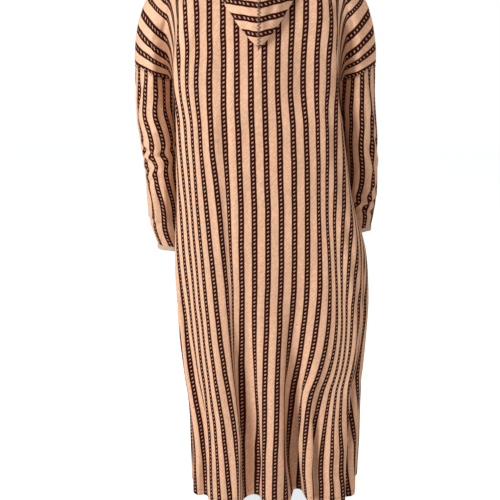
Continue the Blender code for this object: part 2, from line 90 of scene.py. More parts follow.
# Long folds: place at the start, half way and at the hem, start height, height, width to the left
# and to the right, wander. Those of the front are here too, as both panels hang in one loop.
BACK_FOLDS = np.array([
    (0.125, 0.125, 0.130, -0.10, 0.014, 0.100, 0.050, 0.003),
    (0.045, 0.040, 0.030, -0.60, -0.030, 0.055, 0.045, 0.004),
    (-0.030, -0.035, -0.045, -0.75, 0.012, 0.035, 0.040, 0.003),
    (-0.080, -0.100, -0.135, -0.70, -0.048, 0.060, 0.055, 0.004),
    (-0.150, -0.170, -0.195, -0.65, 0.010, 0.035, 0.025, 0.004),
    (-0.190, -0.205, -0.222, -1.00, -0.012, 0.022, 0.022, 0.003),
    (-0.165, -0.255, -0.300, -0.25, 0.016, 0.065, 0.045, 0.003),
    (0.255, 0.235, 0.225, -0.55, 0.012, 0.045, 0.030, 0.004),
    (0.210, 0.195, 0.190, -0.75, -0.012, 0.030, 0.030, 0.003),
    (-0.335, -0.345, -0.350, -0.70, 0.014, 0.040, 0.035, 0.003),
    (0.300, 0.310, 0.320, -0.60, -0.008, 0.020, 0.024, 0.004),
    (0.350, 0.345, 0.340, -0.50, 0.006, 0.018, 0.018, 0.005),
    (-0.290, -0.310, -0.325, -0.60, -0.008, 0.018, 0.018, 0.004),
    (-0.245, -0.262, -0.270, -1.05, 0.006, 0.016, 0.014, 0.003),
    (0.160, 0.158, 0.155, -0.95, 0.005, 0.022, 0.020, 0.003),
    (0.090, 0.092, 0.088, -1.05, 0.004, 0.018, 0.014, 0.003)])

FRONT_FOLDS = np.array([
    (0.120, 0.135, 0.150, -0.25, 0.020, 0.070, 0.060, 0.004),
    (0.060, 0.065, 0.070, -0.60, -0.034, 0.055, 0.055, 0.004),
    (-0.010, -0.010, -0.015, -0.45, 0.016, 0.050, 0.045, 0.003),
    (-0.080, -0.085, -0.095, -0.65, -0.036, 0.060, 0.050, 0.004),
    (-0.130, -0.160, -0.175, -0.25, 0.022, 0.060, 0.060, 0.004),
    (0.270, 0.270, 0.275, -0.60, 0.018, 0.055, 0.050, 0.004),
    (-0.245, -0.255, -0.265, -0.75, -0.020, 0.045, 0.045, 0.004),
    (-0.330, -0.330, -0.335, -0.70, 0.014, 0.045, 0.040, 0.003),
    (0.205, 0.212, 0.220, -0.80, -0.010, 0.026, 0.026, 0.004),
    (0.020, 0.018, 0.022, -0.95, -0.006, 0.018, 0.020, 0.003),
    (-0.200, -0.208, -0.215, -0.85, 0.007, 0.020, 0.022, 0.004),
    (0.340, 0.345, 0.350, -0.60, -0.007, 0.018, 0.020, 0.004)])

# Creases: from across and up, to across and up, rise of the ridge on its left, depth of the
# valley on its right, width
BACK_CREASES = np.array([
    (0.099, -0.16, 0.094, -0.55, 0.0030, 0.0045, 0.016),
    (0.095, -0.50, 0.080, -0.95, 0.0035, 0.0060, 0.014),
    (0.082, -0.86, 0.066, -1.45, 0.0050, 0.0130, 0.014),
    (0.052, -0.88, 0.036, -1.45, -0.0040, 0.0090, 0.018),
    (-0.098, -0.95, -0.128, -1.42, 0.0014, 0.0080, 0.016),
    (-0.150, -0.30, -0.205, -0.62, 0.0035, 0.0030, 0.014),
    (-0.195, -0.58, -0.262, -0.92, 0.0040, 0.0045, 0.012),
    (-0.255, -0.88, -0.292, -1.15, 0.0050, 0.0060, 0.011),
    (0.236, -0.72, 0.212, -1.12, 0.0035, 0.0050, 0.009),
    (0.272, -0.70, 0.246, -1.05, 0.0030, 0.0045, 0.008),
    (0.318, -0.62, 0.282, -1.00, 0.0030, 0.0040, 0.009),
    (-0.120, -1.05, -0.165, -1.30, 0.0025, 0.0035, 0.010),
    (-0.182, -1.12, -0.215, -1.32, 0.0030, 0.0045, 0.008),
    (-0.228, -1.16, -0.246, -1.36, 0.0025, 0.0040, 0.008),
    (-0.300, -0.72, -0.330, -1.10, 0.0030, 0.0040, 0.010),
    (-0.355, -0.60, -0.375, -1.20, 0.0025, 0.0030, 0.012),
    (0.190, -0.20, 0.214, -0.42, 0.0030, 0.0035, 0.012),
    (-0.192, -0.17, -0.216, -0.40, 0.0025, 0.0035, 0.012),
    (0.150, -0.14, 0.176, -0.32, 0.0018, 0.0020, 0.012),
    (-0.140, -0.15, -0.164, -0.30, 0.0016, 0.0020, 0.012),
    (0.170, -0.86, 0.160, -1.30, 0.0020, 0.0028, 0.012),
    (0.020, -0.95, 0.012, -1.38, 0.0020, 0.0025, 0.014),
    (-0.070, -0.85, -0.088, -1.38, 0.0020, 0.0030, 0.014),
    (0.262, -0.12, 0.300, -0.20, 0.0020, 0.0028, 0.010),
    (-0.262, -0.11, -0.305, -0.21, 0.0022, 0.0030, 0.010),
    (0.300, -0.17, 0.352, -0.25, 0.0018, 0.0026, 0.009)])

# Where a fold draws the hem up: place across, width, rise
HEM_LIFTS = {"back": ((-0.126, 0.042, 0.016), (0.030, 0.030, 0.006), (-0.205, 0.012, 0.005)),
             "front": ((0.065, 0.030, 0.006), (-0.088, 0.028, 0.007))}

# How stripes cross the dropped shoulder. Drops: height of a stripe at the shoulder line, and how far
# it falls on its way to the armhole. Fan: that height, and the stripe's place on the flat cloth.
CAP_DROPS = np.array([
    (-0.262, 0.038), (-0.175, 0.092), (-0.120, 0.086), (-0.060, 0.035), (0.000, 0.000)])
CAP_FAN = np.array([
    (-0.262, 0.410), (-0.200, 0.366), (-0.150, 0.328), (-0.100, 0.288), (-0.060, 0.224),
    (-0.030, 0.159), (0.000, 0.083)])

# Tucks: cloth hidden in the bottom of a crease, so that the bands on both sides of it close up.
# For each the width of the step in the pattern, then rows of height, place across and length of
# cloth hidden.
BACK_TUCKS = (
    (0.007, ((-0.45, 0.088, 0.000), (-0.80, 0.075, 0.028), (-1.12, 0.080, 0.055), (-1.40, 0.076, 0.082))),
    (0.024, ((-0.10, 0.160, 0.000), (-0.30, 0.162, 0.032), (-0.60, 0.170, 0.055), (-0.90, 0.158, 0.060),
             (-1.40, 0.150, 0.040))),
    (0.024, ((-0.15, -0.145, 0.000), (-0.30, -0.150, 0.012), (-0.60, -0.165, 0.036),
             (-0.85, -0.208, 0.080), (-1.05, -0.243, 0.072), (-1.24, -0.262, 0.012),
             (-1.40, -0.280, 0.000))))
# How far to the left of an even spacing the bands of the back sit, by height
BACK_DRIFT = ((0.0, 0.004), (-0.30, 0.003), (-0.60, -0.002), (-0.80, 0.000), (-1.02, 0.007),
              (-1.24, 0.009), (-1.40, 0.005))


def ease(start, end, x):
    """Nought before start and one after end, with a smooth step between."""
    t = np.clip((x - start) / (end - start), 0.0, 1.0)
    return t * t * (3.0 - 2.0 * t)


def curve_through(knots, values, at):
    """A smooth curve through the values at rising knots: cubic between each pair, with each slope
    taken from the neighbours."""
    slopes = np.gradient(values, knots, axis=0)
    i = np.clip(np.searchsorted(knots, at) - 1, 0, len(knots) - 2)
    step = knots[i + 1] - knots[i]
    t = (at - knots[i]) / step
    t, step = (part.reshape(part.shape + (1,) * (values.ndim - 1)) for part in (t, step))
    return (values[i] * (2 * t**3 - 3 * t**2 + 1) + values[i + 1] * (3 * t**2 - 2 * t**3)
            + slopes[i] * step * (t**3 - 2 * t**2 + t) + slopes[i + 1] * step * (t**3 - t**2))


def down_table(table, z):
    """The other columns of a table whose first column is a falling height, at the heights z."""
    return curve_through(table[::-1, 0], table[::-1, 1:], np.asarray(z, float))


def way_walked(points, axis=0):
    """Length walked from the first point to each, down a line or along one axis of a grid."""
    steps = np.linalg.norm(np.diff(points, axis=axis), axis=-1)
    return np.concatenate([np.zeros_like(steps.take([0], axis)), np.cumsum(steps, axis=axis)], axis=axis)


def panel_columns():
    """Places across a panel: even through the middle and even in each outer part."""
    middle = np.linspace(-CREASE_SEAT, CREASE_SEAT, MIDDLE_CELLS + 1)
    outer = np.linspace(CREASE_SEAT, HALF_PANEL, OUTER_CELLS + 1)[1:]
    return np.concatenate([-outer[::-1], middle, outer])


def yoke_slices(z, side, across):
    """Points of a panel over the shoulders, one row for each height: a smooth curve through the
    middle, the lip and seat of the crease and the back of the arm, to the shoulder line."""
    back, lip_x, lip_y, seat_x, seat_y, arm_x, arm_y, edge_x, front = down_table(YOKE, z).T
    half = np.array([
        (0.0 * back, back), (0.5 * lip_x, 0.35 * lip_y + 0.65 * back), (lip_x, lip_y),
        (seat_x, seat_y), (arm_x, arm_y), (edge_x, SIDE_Y + 0.0 * back), (arm_x, 2 * SIDE_Y - arm_y)])
    half = half.transpose(0, 2, 1)
    if side == "front":
        depth = (front - SIDE_Y) / (back - SIDE_Y)
        half[:, :, 1] = SIDE_Y + (half[:, :, 1] - SIDE_Y) * depth
    over_arm = 0.5 * (CREASE_SEAT + HALF_PANEL)
    places = np.array([0.0, 0.5 * CREASE_LIP, CREASE_LIP, CREASE_SEAT, over_arm, HALF_PANEL,
                       2 * HALF_PANEL - over_arm])
    knots = np.concatenate([-places[:0:-1], places])
    mirror = half[:0:-1] * (-RIGHT_SHOULDER, 1.0)
    return curve_through(knots, np.concatenate([mirror, half]), across).transpose(1, 0, 2)


def yoke_grid(side, across, z):
    """The shoulder part of a panel. Its lower edge rises on the outside of the arm."""
    xy = yoke_slices(z, side, across)
    rise = SEAM_RISE * ease(CREASE_SEAT, HALF_PANEL, np.abs(across))[None] * (z[:, None] / ARMPIT) ** 3
    return np.dstack([xy, z[:, None] + rise])


def fold_heights(folds, across, z):
    """How far long folds move the cloth out at one height: rounded humps, wandering a little."""
    total = np.zeros_like(across)
    for number, (start, half_way, at_hem, top, height, left, right, wander) in enumerate(folds):
        along = (z - top) / (HEM - top)
        t = np.clip(along, 0.0, 1.0)
        place = start * (2 * t - 1) * (t - 1) + half_way * 4 * t * (1 - t) + at_hem * t * (2 * t - 1)
        place += wander * np.sin(9.0 * t + 2.4 * number) * t
        x = across - place
        reach = np.clip(np.where(x > 0, x / left, -x / right), 0.0, 1.0)
        total += height * ease(0.0, 0.85, along) * (0.5 + 0.5 * np.cos(np.pi * reach))
    return total


def oval(z, places=720):
    """The skirt's outline at one height: half a squarish oval behind and a rounder one in front."""
    left, right, back, front, widest, _ = down_table(SKIRT, z)
    turn = np.linspace(0.0, 2 * np.pi, places + 1)
    across, deep = np.sin(turn), np.cos(turn)
    power = 2.0 / np.where(deep > 0, BACK_SQUARENESS, FRONT_SQUARENESS)
    x = 0.5 * (left + right) + 0.5 * (left - right) * np.sign(across) * np.abs(across) ** power
    y = widest + np.where(deep > 0, back - widest, front - widest) * np.abs(deep) ** power
    return np.column_stack([x, y])


def skirt_loop(z, samples=1640):
    """Cloth places once round the skirt at one height, and their points. The cloth isn't
    stretched: where a fold rises it moves on round the oval by what is left of its length, and
    what the oval can't take is gathered by the side seams."""
    place = np.linspace(-HALF_PANEL, 3 * HALF_PANEL, samples + 1)
    step = place[1] - place[0]
    front_place = 2 * HALF_PANEL - place
    behind = place <= HALF_PANEL
    height = np.where(behind, fold_heights(BACK_FOLDS, place, z),
                      fold_heights(FRONT_FOLDS, front_place, z))
    slope = np.clip(np.gradient(height, step), -STEEPEST, STEEPEST)
    forward = np.sqrt(1.0 - slope**2)
    near_seam = ease(0.42 * HALF_PANEL, 0.75 * HALF_PANEL, np.abs(np.where(behind, place, front_place)))
    ring = oval(z)
    gone = way_walked(ring)
    spare = np.sum(forward[1:]) * step - gone[-1]
    forward = forward * (1.0 - near_seam * spare / (np.sum((forward * near_seam)[1:]) * step))
    arc = np.concatenate([[0.0], np.cumsum(forward[1:] * step)])
    quarter = len(ring) // 4
    rolled = np.roll(ring[:-1, 0], quarter)[: 2 * quarter]
    way_there = np.roll(gone[:-1], quarter)[: 2 * quarter]
    way_there = np.where(way_there > 0.5 * gone[-1], way_there - gone[-1], way_there)
    start = np.interp(down_table(SKIRT, z)[5], rolled, way_there)
    way = arc - np.interp(0.0, place, arc) + start

    def on_ring(at):
        at = np.mod(at, gone[-1])
        return np.column_stack([np.interp(at, gone, ring[:, 0]), np.interp(at, gone, ring[:, 1])])

    along = on_ring(way + 0.004) - on_ring(way - 0.004)
    out = np.column_stack([-along[:, 1], along[:, 0]]) / np.linalg.norm(along, axis=1)[:, None]
    return place, on_ring(way) + out * height[:, None]


def skirt_grid(side, across, z):
    """The hanging part of a panel. Its top edge goes across the chest and under each arm."""
    seat = yoke_slices(np.array([ARMPIT]), side, across)[0]
    turn_in = yoke_slices(np.array([ARMPIT]), side, np.array([-CREASE_SEAT, CREASE_SEAT]))[0]
    beyond = np.clip((np.abs(across) - CREASE_SEAT) / (HALF_PANEL - CREASE_SEAT), 0.0, 1.0)
    start = turn_in[(across > 0).astype(int)]
    under_arm = np.column_stack([start[:, 0], start[:, 1] + (SIDE_Y - start[:, 1]) * beyond])
    seat = np.where(beyond[:, None] > 0, under_arm, seat)
    on_loop = across if side == "back" else 2 * HALF_PANEL - across
    rows = []
    for height in z:
        place, loop = skirt_loop(height)
        hung = np.column_stack([np.interp(on_loop, place, loop[:, 0]),
                                np.interp(on_loop, place, loop[:, 1])])
        rows.append(seat + (hung - seat) * ease(ARMPIT, ARMPIT - SETTLE, height))
    return np.dstack([np.array(rows), np.repeat(z[:, None], len(across), 1)])


def crease_heights(creases, across, up):
    """Sum of short creases: each a rounded ridge beside a rounded valley along a straight line,
    fading out at both of its ends."""
    total = np.zeros_like(across)
    for x0, z0, x1, z1, ridge, valley, width in creases:
        length = np.hypot(x1 - x0, z1 - z0)
        dx, dz = (x1 - x0) / length, (z1 - z0) / length
        along = ((across - x0) * dx + (up - z0) * dz) / length
        off = ((across - x0) * -dz + (up - z0) * dx) / width
        fade = ease(-0.05, 0.30, along) * (1.0 - ease(0.70, 1.05, along))
        total += fade * (ridge * np.exp(-(off - 0.6) ** 2) - valley * np.exp(-(off + 0.6) ** 2))
    return total


def waves(across, up, seed, size, height):
    """Gentle unevenness of handled wool: a sum of eight slanting waves of about one size."""
    chance = np.random.default_rng(seed)
    total = np.zeros_like(across)
    for lean, stretch, start in chance.uniform((-0.45, 0.7, 0.0), (0.45, 1.5, 6.28), (8, 3)):
        total += np.sin((across * np.cos(lean) + 0.30 * up * np.sin(lean * 2)) * 6.28 / (size * stretch)
                        + up * 6.28 / (6.0 * size * stretch) + start)
    return total * height / 8.0


def outward(grid):
    """Directions square to a grid of points: along its rows crossed with down its columns."""
    square = np.cross(np.gradient(grid, axis=1), np.gradient(grid, axis=0))
    return square / np.maximum(np.linalg.norm(square, axis=2, keepdims=True), 1e-9)


def shoulder_pattern(grid, across, z):
    """Where each point of the shoulder part lies on the flat cloth. On the body the cloth goes
    straight up, and over the arm its stripes fan out from the armhole to the shoulder line. A point
    there belongs to the stripe that starts at the shoulder line as much higher as it has dropped so
    far, and forty half steps find that start."""
    walked = way_walked(grid[:, :, :2], axis=1)
    walked -= walked[:, len(across) // 2][:, None]
    place = np.abs(across)[None]
    on_body = np.abs(walked) + (place - np.abs(walked)) * ease(-0.17, -0.29, z)[:, None]
    inside = np.clip((HALF_PANEL - place) / (HALF_PANEL - CREASE_SEAT), 0.0, 1.0)
    top = grid[:, :, 2].copy()
    for _ in range(40):
        top = 0.5 * top + 0.5 * (grid[:, :, 2] + inside * np.interp(top, *CAP_DROPS.T))
    on_arm = np.interp(top, *CAP_FAN.T)
    over = ease(*ON_TO_ARM, place)
    u = np.sign(across)[None] * (on_body + (on_arm - on_body) * over)
    v = -z[:, None] * (1.0 - over) + (0.13 * inside + 0.30) * over
    return np.dstack([u, v])


def tucked(across, z):
    """How far the flat cloth of the back is moved along at each place: for each tuck a smooth
    step outwards, as long as the cloth that it hides at that height, and the drift of the bands."""
    height, drift = np.array(BACK_DRIFT[::-1]).T
    total = np.zeros((len(z), len(across))) - np.interp(z, height, drift)[:, None]
    for width, rows in BACK_TUCKS:
        height, place, hidden = np.array(rows[::-1]).T
        side = np.sign(place[0])
        past = side * across[None] - side * np.interp(z, height, place)[:, None]
        total += side * np.interp(z, height, hidden)[:, None] * (0.5 + 0.5 * np.tanh(past / width))
    return total


def panel(side, creases):
    """Both parts of a panel with their places on the flat cloth. The shoulder part and the
    hanging part share their middle row, where their outward directions are evened out."""
    across = panel_columns()
    high = ARMPIT * np.linspace(0.0, 1.0, YOKE_CELLS + 1)
    low = ARMPIT + (HEM - ARMPIT) * np.linspace(0.0, 1.0, SKIRT_CELLS + 1) ** 1.08
    grids = [yoke_grid(side, across, high), skirt_grid(side, across, low)]
    middle = slice(OUTER_CELLS, OUTER_CELLS + MIDDLE_CELLS + 1)
    grids[1][0, middle] = grids[0][-1, middle]
    out = [outward(grid) for grid in grids]
    if side == "front":
        out = [-one for one in out]
    out[1][0, middle] = out[0][-1, middle] = 0.5 * (out[1][0, middle] + out[0][-1, middle])
    cloth = [shoulder_pattern(grids[0], across, high),
             np.dstack(np.broadcast_arrays(across[None], -low[:, None]))]
    if side == "back":
        cloth[0][:, :, 0] += tucked(across, high) * (1.0 - ease(*ON_TO_ARM, np.abs(across)))
        cloth[1][:, :, 0] += tucked(across, low)
    shaped = []
    for grid, way, z in zip(grids, out, (high, low)):
        u, up = np.broadcast_arrays(across[None], z[:, None])
        from_seam = HALF_PANEL - np.abs(u)
        free = ease(0.0, -0.06, up) * ease(0.0, 0.015, from_seam)
        small = free * (crease_heights(creases, u, up) + waves(u, up, 11 + len(side), 0.052, 0.0016))
        sewn_in = 1.0 - ease(0.0, 0.006, from_seam)
        if z is high:
            by_armhole = (np.abs(u) > CREASE_SEAT) * (1.0 - ease(0.0, 0.008, up - ARMPIT))
            sewn_in = np.maximum(sewn_in, by_armhole)
        shaped.append(grid + way * (small - SEAM_DEPTH * sewn_in)[:, :, None])
    shaped[1][0, middle] = shaped[0][-1, middle]
    hem_wave = ease(HEM + 0.10, HEM, low)[:, None] * 0.0030 * np.sin(across * 31.0 + 0.6)[None]
    shaped[1][:, :, 2] += hem_wave
    for place, width, lift in HEM_LIFTS[side]:
        near = np.exp(-((across - place) / width) ** 2)
        shaped[1][:, :, 2] += ease(HEM + 0.22, HEM, low)[:, None] * (lift * near)[None]
    return shaped, cloth


def sew(name, grids, cloth, near, facing):
    """A mesh from grids of points, four-sided between rows and columns, with the places on the
    flat cloth as its UV map. Rows and columns that meet are merged, the face nearest to near is
    turned to look towards facing and the rest with it, and Solidify adds the wall behind."""
    points, places, faces = [], [], []
    first = 0
    for grid, flat in zip(grids, cloth):
        rows, columns = grid.shape[:2]
        index = first + np.arange(rows * columns).reshape(rows, columns)
        faces.append(np.stack([index[:-1, :-1], index[:-1, 1:], index[1:, 1:], index[1:, :-1]],
                              axis=2).reshape(-1, 4))
        points.append(grid.reshape(-1, 3))
        places.append(flat.reshape(-1, 2))
        first += rows * columns
    points, places, faces = (np.concatenate(part) for part in (points, places, faces))
    mesh = bpy.data.meshes.new(name)
    mesh.from_pydata(points.tolist(), [], faces.tolist())
    layer = mesh.uv_layers.new(name="cloth")
    layer.uv.foreach_set("vector", places[faces.ravel()].astype(np.float32).ravel())
    form = bmesh.new()
    form.from_mesh(mesh)
    bmesh.ops.remove_doubles(form, verts=form.verts, dist=0.00002)
    bmesh.ops.recalc_face_normals(form, faces=form.faces)
    form.to_mesh(mesh)
    form.free()
    centres = np.empty(len(mesh.polygons) * 3, np.float32)
    normals = np.empty_like(centres)
    mesh.polygons.foreach_get("center", centres)
    mesh.polygons.foreach_get("normal", normals)
    nearest = np.argmin(np.linalg.norm(centres.reshape(-1, 3) - near, axis=1))
    if normals.reshape(-1, 3)[nearest] @ facing < 0:
        mesh.flip_normals()
    mesh.shade_smooth()
    piece = bpy.data.objects.new(name, mesh)
    bpy.context.scene.collection.objects.link(piece)
    wall = piece.modifiers.new("wall", "SOLIDIFY")
    wall.thickness, wall.offset = CLOTH, -1.0
    return piece


def add_node(tree, kind, *inputs, out=0, **settings):
    """A node with its settings, its inputs filled in order by a link or a plain value, and one
    of its outputs handed back."""
    node = tree.nodes.new(kind)
    for name, value in settings.items():
        setattr(node, name, value)
    for socket, value in zip(node.inputs, inputs):
        if isinstance(value, bpy.types.NodeSocket):
            tree.links.new(value, socket)
        elif value is not None:
            socket.default_value = value
    return node.outputs[out]


def sums(tree, operation, *inputs):
    """A Math node."""
    return add_node(tree, "ShaderNodeMath", *inputs, operation=operation)


def between(tree, low, high, value, start=0.0, end=1.0):
    """A smooth step from start to end as a value goes from low to high."""
    return add_node(tree, "ShaderNodeMapRange", value, low, high, start, end,
                    interpolation_type="SMOOTHSTEP")


def blend(tree, share, first, second, kind="MIX"):
    """A colour between two, by share."""
    node = tree.nodes.new("ShaderNodeMix")
    node.data_type, node.blend_type = "RGBA", kind
    for socket, value in zip([node.inputs[0], node.inputs[6], node.inputs[7]], (share, first, second)):
        if isinstance(value, bpy.types.NodeSocket):
            tree.links.new(value, socket)
        else:
            socket.default_value = value
    return node.outputs[2]


BAND_EDGE = (0.0066, 0.0080)    # from the middle of a band to where its edge begins and ends
PIP_EDGE = (0.0015, 0.0028)     # from there to where the ends of its pips begin and end
PIP_PITCH = 0.010          # from one pip to the next along a band
TWILL_TURNS = 2856.0       # radians of rib for each metre: ribs are 2.2 mm apart down the cloth
TWILL_LEAN = 0.785         # turn from the stripes to the ribs


def weave_group():
    """Node group for the striped weave, from a place on the flat cloth in metres: dark bands one
    pitch apart and 15 mm wide, each with a middle row of slanting light pips, a fine twill between
    them, uneven yarn, and now and then a stray dark slub."""
    tree = bpy.data.node_groups.new("striped_weave", "ShaderNodeTree")
    for name, kind in (("Cloth", "NodeSocketVector"), ("Ground", "NodeSocketColor"),
                       ("Band", "NodeSocketColor"), ("Pip", "NodeSocketColor")):
        tree.interface.new_socket(name, in_out="INPUT", socket_type=kind)
    for name, kind in (("Color", "NodeSocketColor"), ("Height", "NodeSocketFloat"),
                       ("Roughness", "NodeSocketFloat")):
        tree.interface.new_socket(name, in_out="OUTPUT", socket_type=kind)
    given = tree.nodes.new("NodeGroupInput").outputs
    ends = tree.nodes.new("NodeGroupOutput").inputs
    cloth = given["Cloth"]
    split = tree.nodes.new("ShaderNodeSeparateXYZ")
    tree.links.new(cloth, split.inputs[0])
    across, down = split.outputs[0], split.outputs[1]

    def noise(scale, detail=2.0, vector=cloth):
        return add_node(tree, "ShaderNodeTexNoise", vector, None, scale, detail, 0.6,
                        noise_dimensions="2D")

    def drawn_out(turn, long, wide):
        """Places for a pattern in patches of this length and width, at a turn to the stripes."""
        return add_node(tree, "ShaderNodeMapping", cloth, None, (0.0, 0.0, turn), (long, wide, 1.0),
                        vector_type="TEXTURE")

    # Bands: the distance from the middle of the nearest one, with wandering and ragged edges
    wander = sums(tree, "MULTIPLY_ADD", noise(7.0), 0.0036, -0.0018)
    ragged = sums(tree, "MULTIPLY_ADD", noise(620.0), 0.0012, -0.0006)
    place = sums(tree, "ADD", sums(tree, "ADD", across, wander), ragged)
    turns = sums(tree, "MULTIPLY_ADD", place, 1.0 / STRIPE_PITCH, -0.5)
    number = sums(tree, "ROUND", turns)
    off = sums(tree, "MULTIPLY", sums(tree, "SUBTRACT", turns, number), STRIPE_PITCH)
    aside = sums(tree, "ABSOLUTE", off)
    band = between(tree, *BAND_EDGE, aside, 1.0, 0.0)

    # Pips: a stroke every 10 mm along the band, up to the right as seen from outside
    slanted = sums(tree, "SUBTRACT", down, sums(tree, "MULTIPLY", off, 0.6))
    steps = sums(tree, "MULTIPLY", slanted, 1.0 / PIP_PITCH)
    beat = sums(tree, "ABSOLUTE", sums(tree, "SUBTRACT", sums(tree, "FRACT", steps), 0.5))
    stroke = between(tree, 0.11, 0.23, beat, 1.0, 0.0)
    pip = sums(tree, "MULTIPLY", stroke, between(tree, *PIP_EDGE, aside, 1.0, 0.0))
    pip = sums(tree, "MULTIPLY", pip, sums(tree, "MULTIPLY_ADD", noise(150.0), 1.1, 0.22))

    # Twill: ribs that lean the same way as the pips
    lean = sums(tree, "MULTIPLY", sums(tree, "SUBTRACT", down, across), TWILL_TURNS)
    rib = sums(tree, "SINE", sums(tree, "ADD", lean, sums(tree, "MULTIPLY", noise(260.0), 5.0)))
    rib = sums(tree, "MULTIPLY_ADD", rib, 0.5, 0.5)

    # Uneven yarn: noise drawn out along the lean of the twill, and fuzz
    streaks, fine_streaks = (noise(1.0, 3.0, drawn_out(TWILL_LEAN, long, wide))
                             for long, wide in ((0.016, 0.0046), (0.0065, 0.0017)))
    fuzz = noise(1500.0, 3.0)

    # Slubs: a few short dark fibres, one in some of the cells of a coarse cell pattern
    cells = drawn_out(0.9, 0.110, 0.030)
    spots = tree.nodes.new("ShaderNodeTexVoronoi")
    spots.voronoi_dimensions = "2D"
    spots.inputs["Scale"].default_value = 1.0
    tree.links.new(cells, spots.inputs["Vector"])
    chance = tree.nodes.new("ShaderNodeSeparateColor")
    tree.links.new(spots.outputs["Color"], chance.inputs[0])
    slub = sums(tree, "MULTIPLY", between(tree, 0.012, 0.036, spots.outputs["Distance"], 1.0, 0.0),
                between(tree, 0.80, 0.83, chance.outputs[0]))

    # Colour: each stripe's own tone and slow wear, darker between the ribs and in the streaks
    tone = add_node(tree, "ShaderNodeTexWhiteNoise", None, number, noise_dimensions="1D")
    worn = sums(tree, "MULTIPLY_ADD", noise(4.5, 3.0), 0.16, 0.90)
    light = sums(tree, "MULTIPLY_ADD", tone, 0.09, worn)
    for mask, share, least in ((rib, 0.10, 0.90), (streaks, 0.50, 0.75), (fine_streaks, 0.70, 0.64)):
        light = sums(tree, "MULTIPLY", light, sums(tree, "MULTIPLY_ADD", mask, share, least))
    plain = add_node(tree, "ShaderNodeCombineColor", light, light, light)
    ground = blend(tree, 1.0, given["Ground"], plain, "MULTIPLY")
    ground = blend(tree, sums(tree, "MULTIPLY", slub, 0.85), ground, given["Band"])
    dark = blend(tree, sums(tree, "MULTIPLY", fine_streaks, 0.014), given["Band"], given["Pip"])
    dark = blend(tree, pip, dark, given["Pip"])
    tree.links.new(blend(tree, band, ground, dark), ends["Color"])

    height = sums(tree, "MULTIPLY", rib, 0.45)
    for mask, share in ((fuzz, 0.55), (streaks, 0.7), (fine_streaks, 0.8), (band, 0.5), (pip, 0.6),
                        (slub, 1.2)):
        height = sums(tree, "MULTIPLY_ADD", mask, share, height)
    tree.links.new(height, ends["Height"])
    tree.links.new(sums(tree, "MULTIPLY_ADD", fuzz, 0.16, 0.80), ends["Roughness"])
    return tree


CREAM_WOOL = (0.890, 0.550, 0.368, 1.0)
DARK_WOOL = (0.032, 0.0030, 0.0010, 1.0)
PIP_WOOL = (0.780, 0.480, 0.370, 1.0)
weave = weave_group()


def textile(name, specular, strength, depth):
    """A new material for cloth or thread, with how much it shines and a bump of this strength and
    depth in metres. Handed back with its tree, the shader's inputs and the bump's height."""
    material = bpy.data.materials.new(name)
    material.use_nodes = True
    tree = material.node_tree
    shader = tree.nodes["Principled BSDF"].inputs
    shader["Specular IOR Level"].default_value = specular
    relief = tree.nodes.new("ShaderNodeBump")
    relief.inputs["Strength"].default_value = strength
    relief.inputs["Distance"].default_value = depth
    tree.links.new(relief.outputs[0], shader["Normal"])
    return material, tree, shader, relief.inputs["Height"]


def striped_wool():
    """The robe's cloth: the weave on the piece's own UV map, and matt."""
    material, tree, shader, height = textile("striped_wool", 0.05, 0.55, 0.0011)
    where = tree.nodes.new("ShaderNodeUVMap")
    where.uv_map = "cloth"
    pattern = tree.nodes.new("ShaderNodeGroup")
    pattern.node_tree = weave
    tree.links.new(where.outputs[0], pattern.inputs["Cloth"])
    pattern.inputs["Ground"].default_value = CREAM_WOOL
    pattern.inputs["Band"].default_value = DARK_WOOL
    pattern.inputs["Pip"].default_value = PIP_WOOL
    tree.links.new(pattern.outputs["Height"], height)
    tree.links.new(pattern.outputs["Color"], shader["Base Color"])
    tree.links.new(pattern.outputs["Roughness"], shader["Roughness"])
    return material


striped = striped_wool()
back_grids, back_cloth = panel("back", BACK_CREASES)
back = sew("back_cloth", back_grids, back_cloth, (0.0, 0.15, -0.5), (0.0, 1.0, 0.0))
back.data.materials.append(striped)
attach(back, "root")
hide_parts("back")


# Front panel
# The same cut as the back, slit down its middle from the neck, with a narrow gap between the edges of the
# slit. Its folds are ones that such a robe has there.
SLIT_FOOT, SLIT_GAP = -0.205, 0.0030
FRONT_CREASES = np.array([
    (0.150, -0.16, 0.118, -0.50, 0.0030, 0.0040, 0.014),
    (-0.145, -0.15, -0.122, -0.46, 0.0028, 0.0040, 0.014),
    (0.190, -0.20, 0.214, -0.44, 0.0030, 0.0035, 0.012),
    (-0.192, -0.18, -0.216, -0.42, 0.0025, 0.0035, 0.012),
    (0.105, -0.48, 0.128, -0.95, 0.0030, 0.0050, 0.013),
    (-0.118, -0.45, -0.140, -0.98, 0.0032, 0.0045, 0.013),
    (0.040, -0.70, 0.034, -1.20, 0.0025, 0.0035, 0.013),
    (-0.045, -0.78, -0.050, -1.30, 0.0025, 0.0035, 0.012),
    (0.150, -0.95, 0.170, -1.36, 0.0030, 0.0040, 0.011),
    (-0.190, -0.90, -0.200, -1.34, 0.0030, 0.0040, 0.011),
    (0.240, -0.62, 0.232, -1.10, 0.0030, 0.0040, 0.010),
    (-0.290, -0.66, -0.300, -1.10, 0.0030, 0.0040, 0.010),
    (0.310, -0.70, 0.316, -1.25, 0.0028, 0.0035, 0.010),
    (-0.360, -0.60, -0.366, -1.20, 0.0025, 0.0030, 0.012),
    (0.262, -0.12, 0.300, -0.20, 0.0020, 0.0028, 0.010),
    (-0.262, -0.11, -0.305, -0.21, 0.0022, 0.0030, 0.010)])

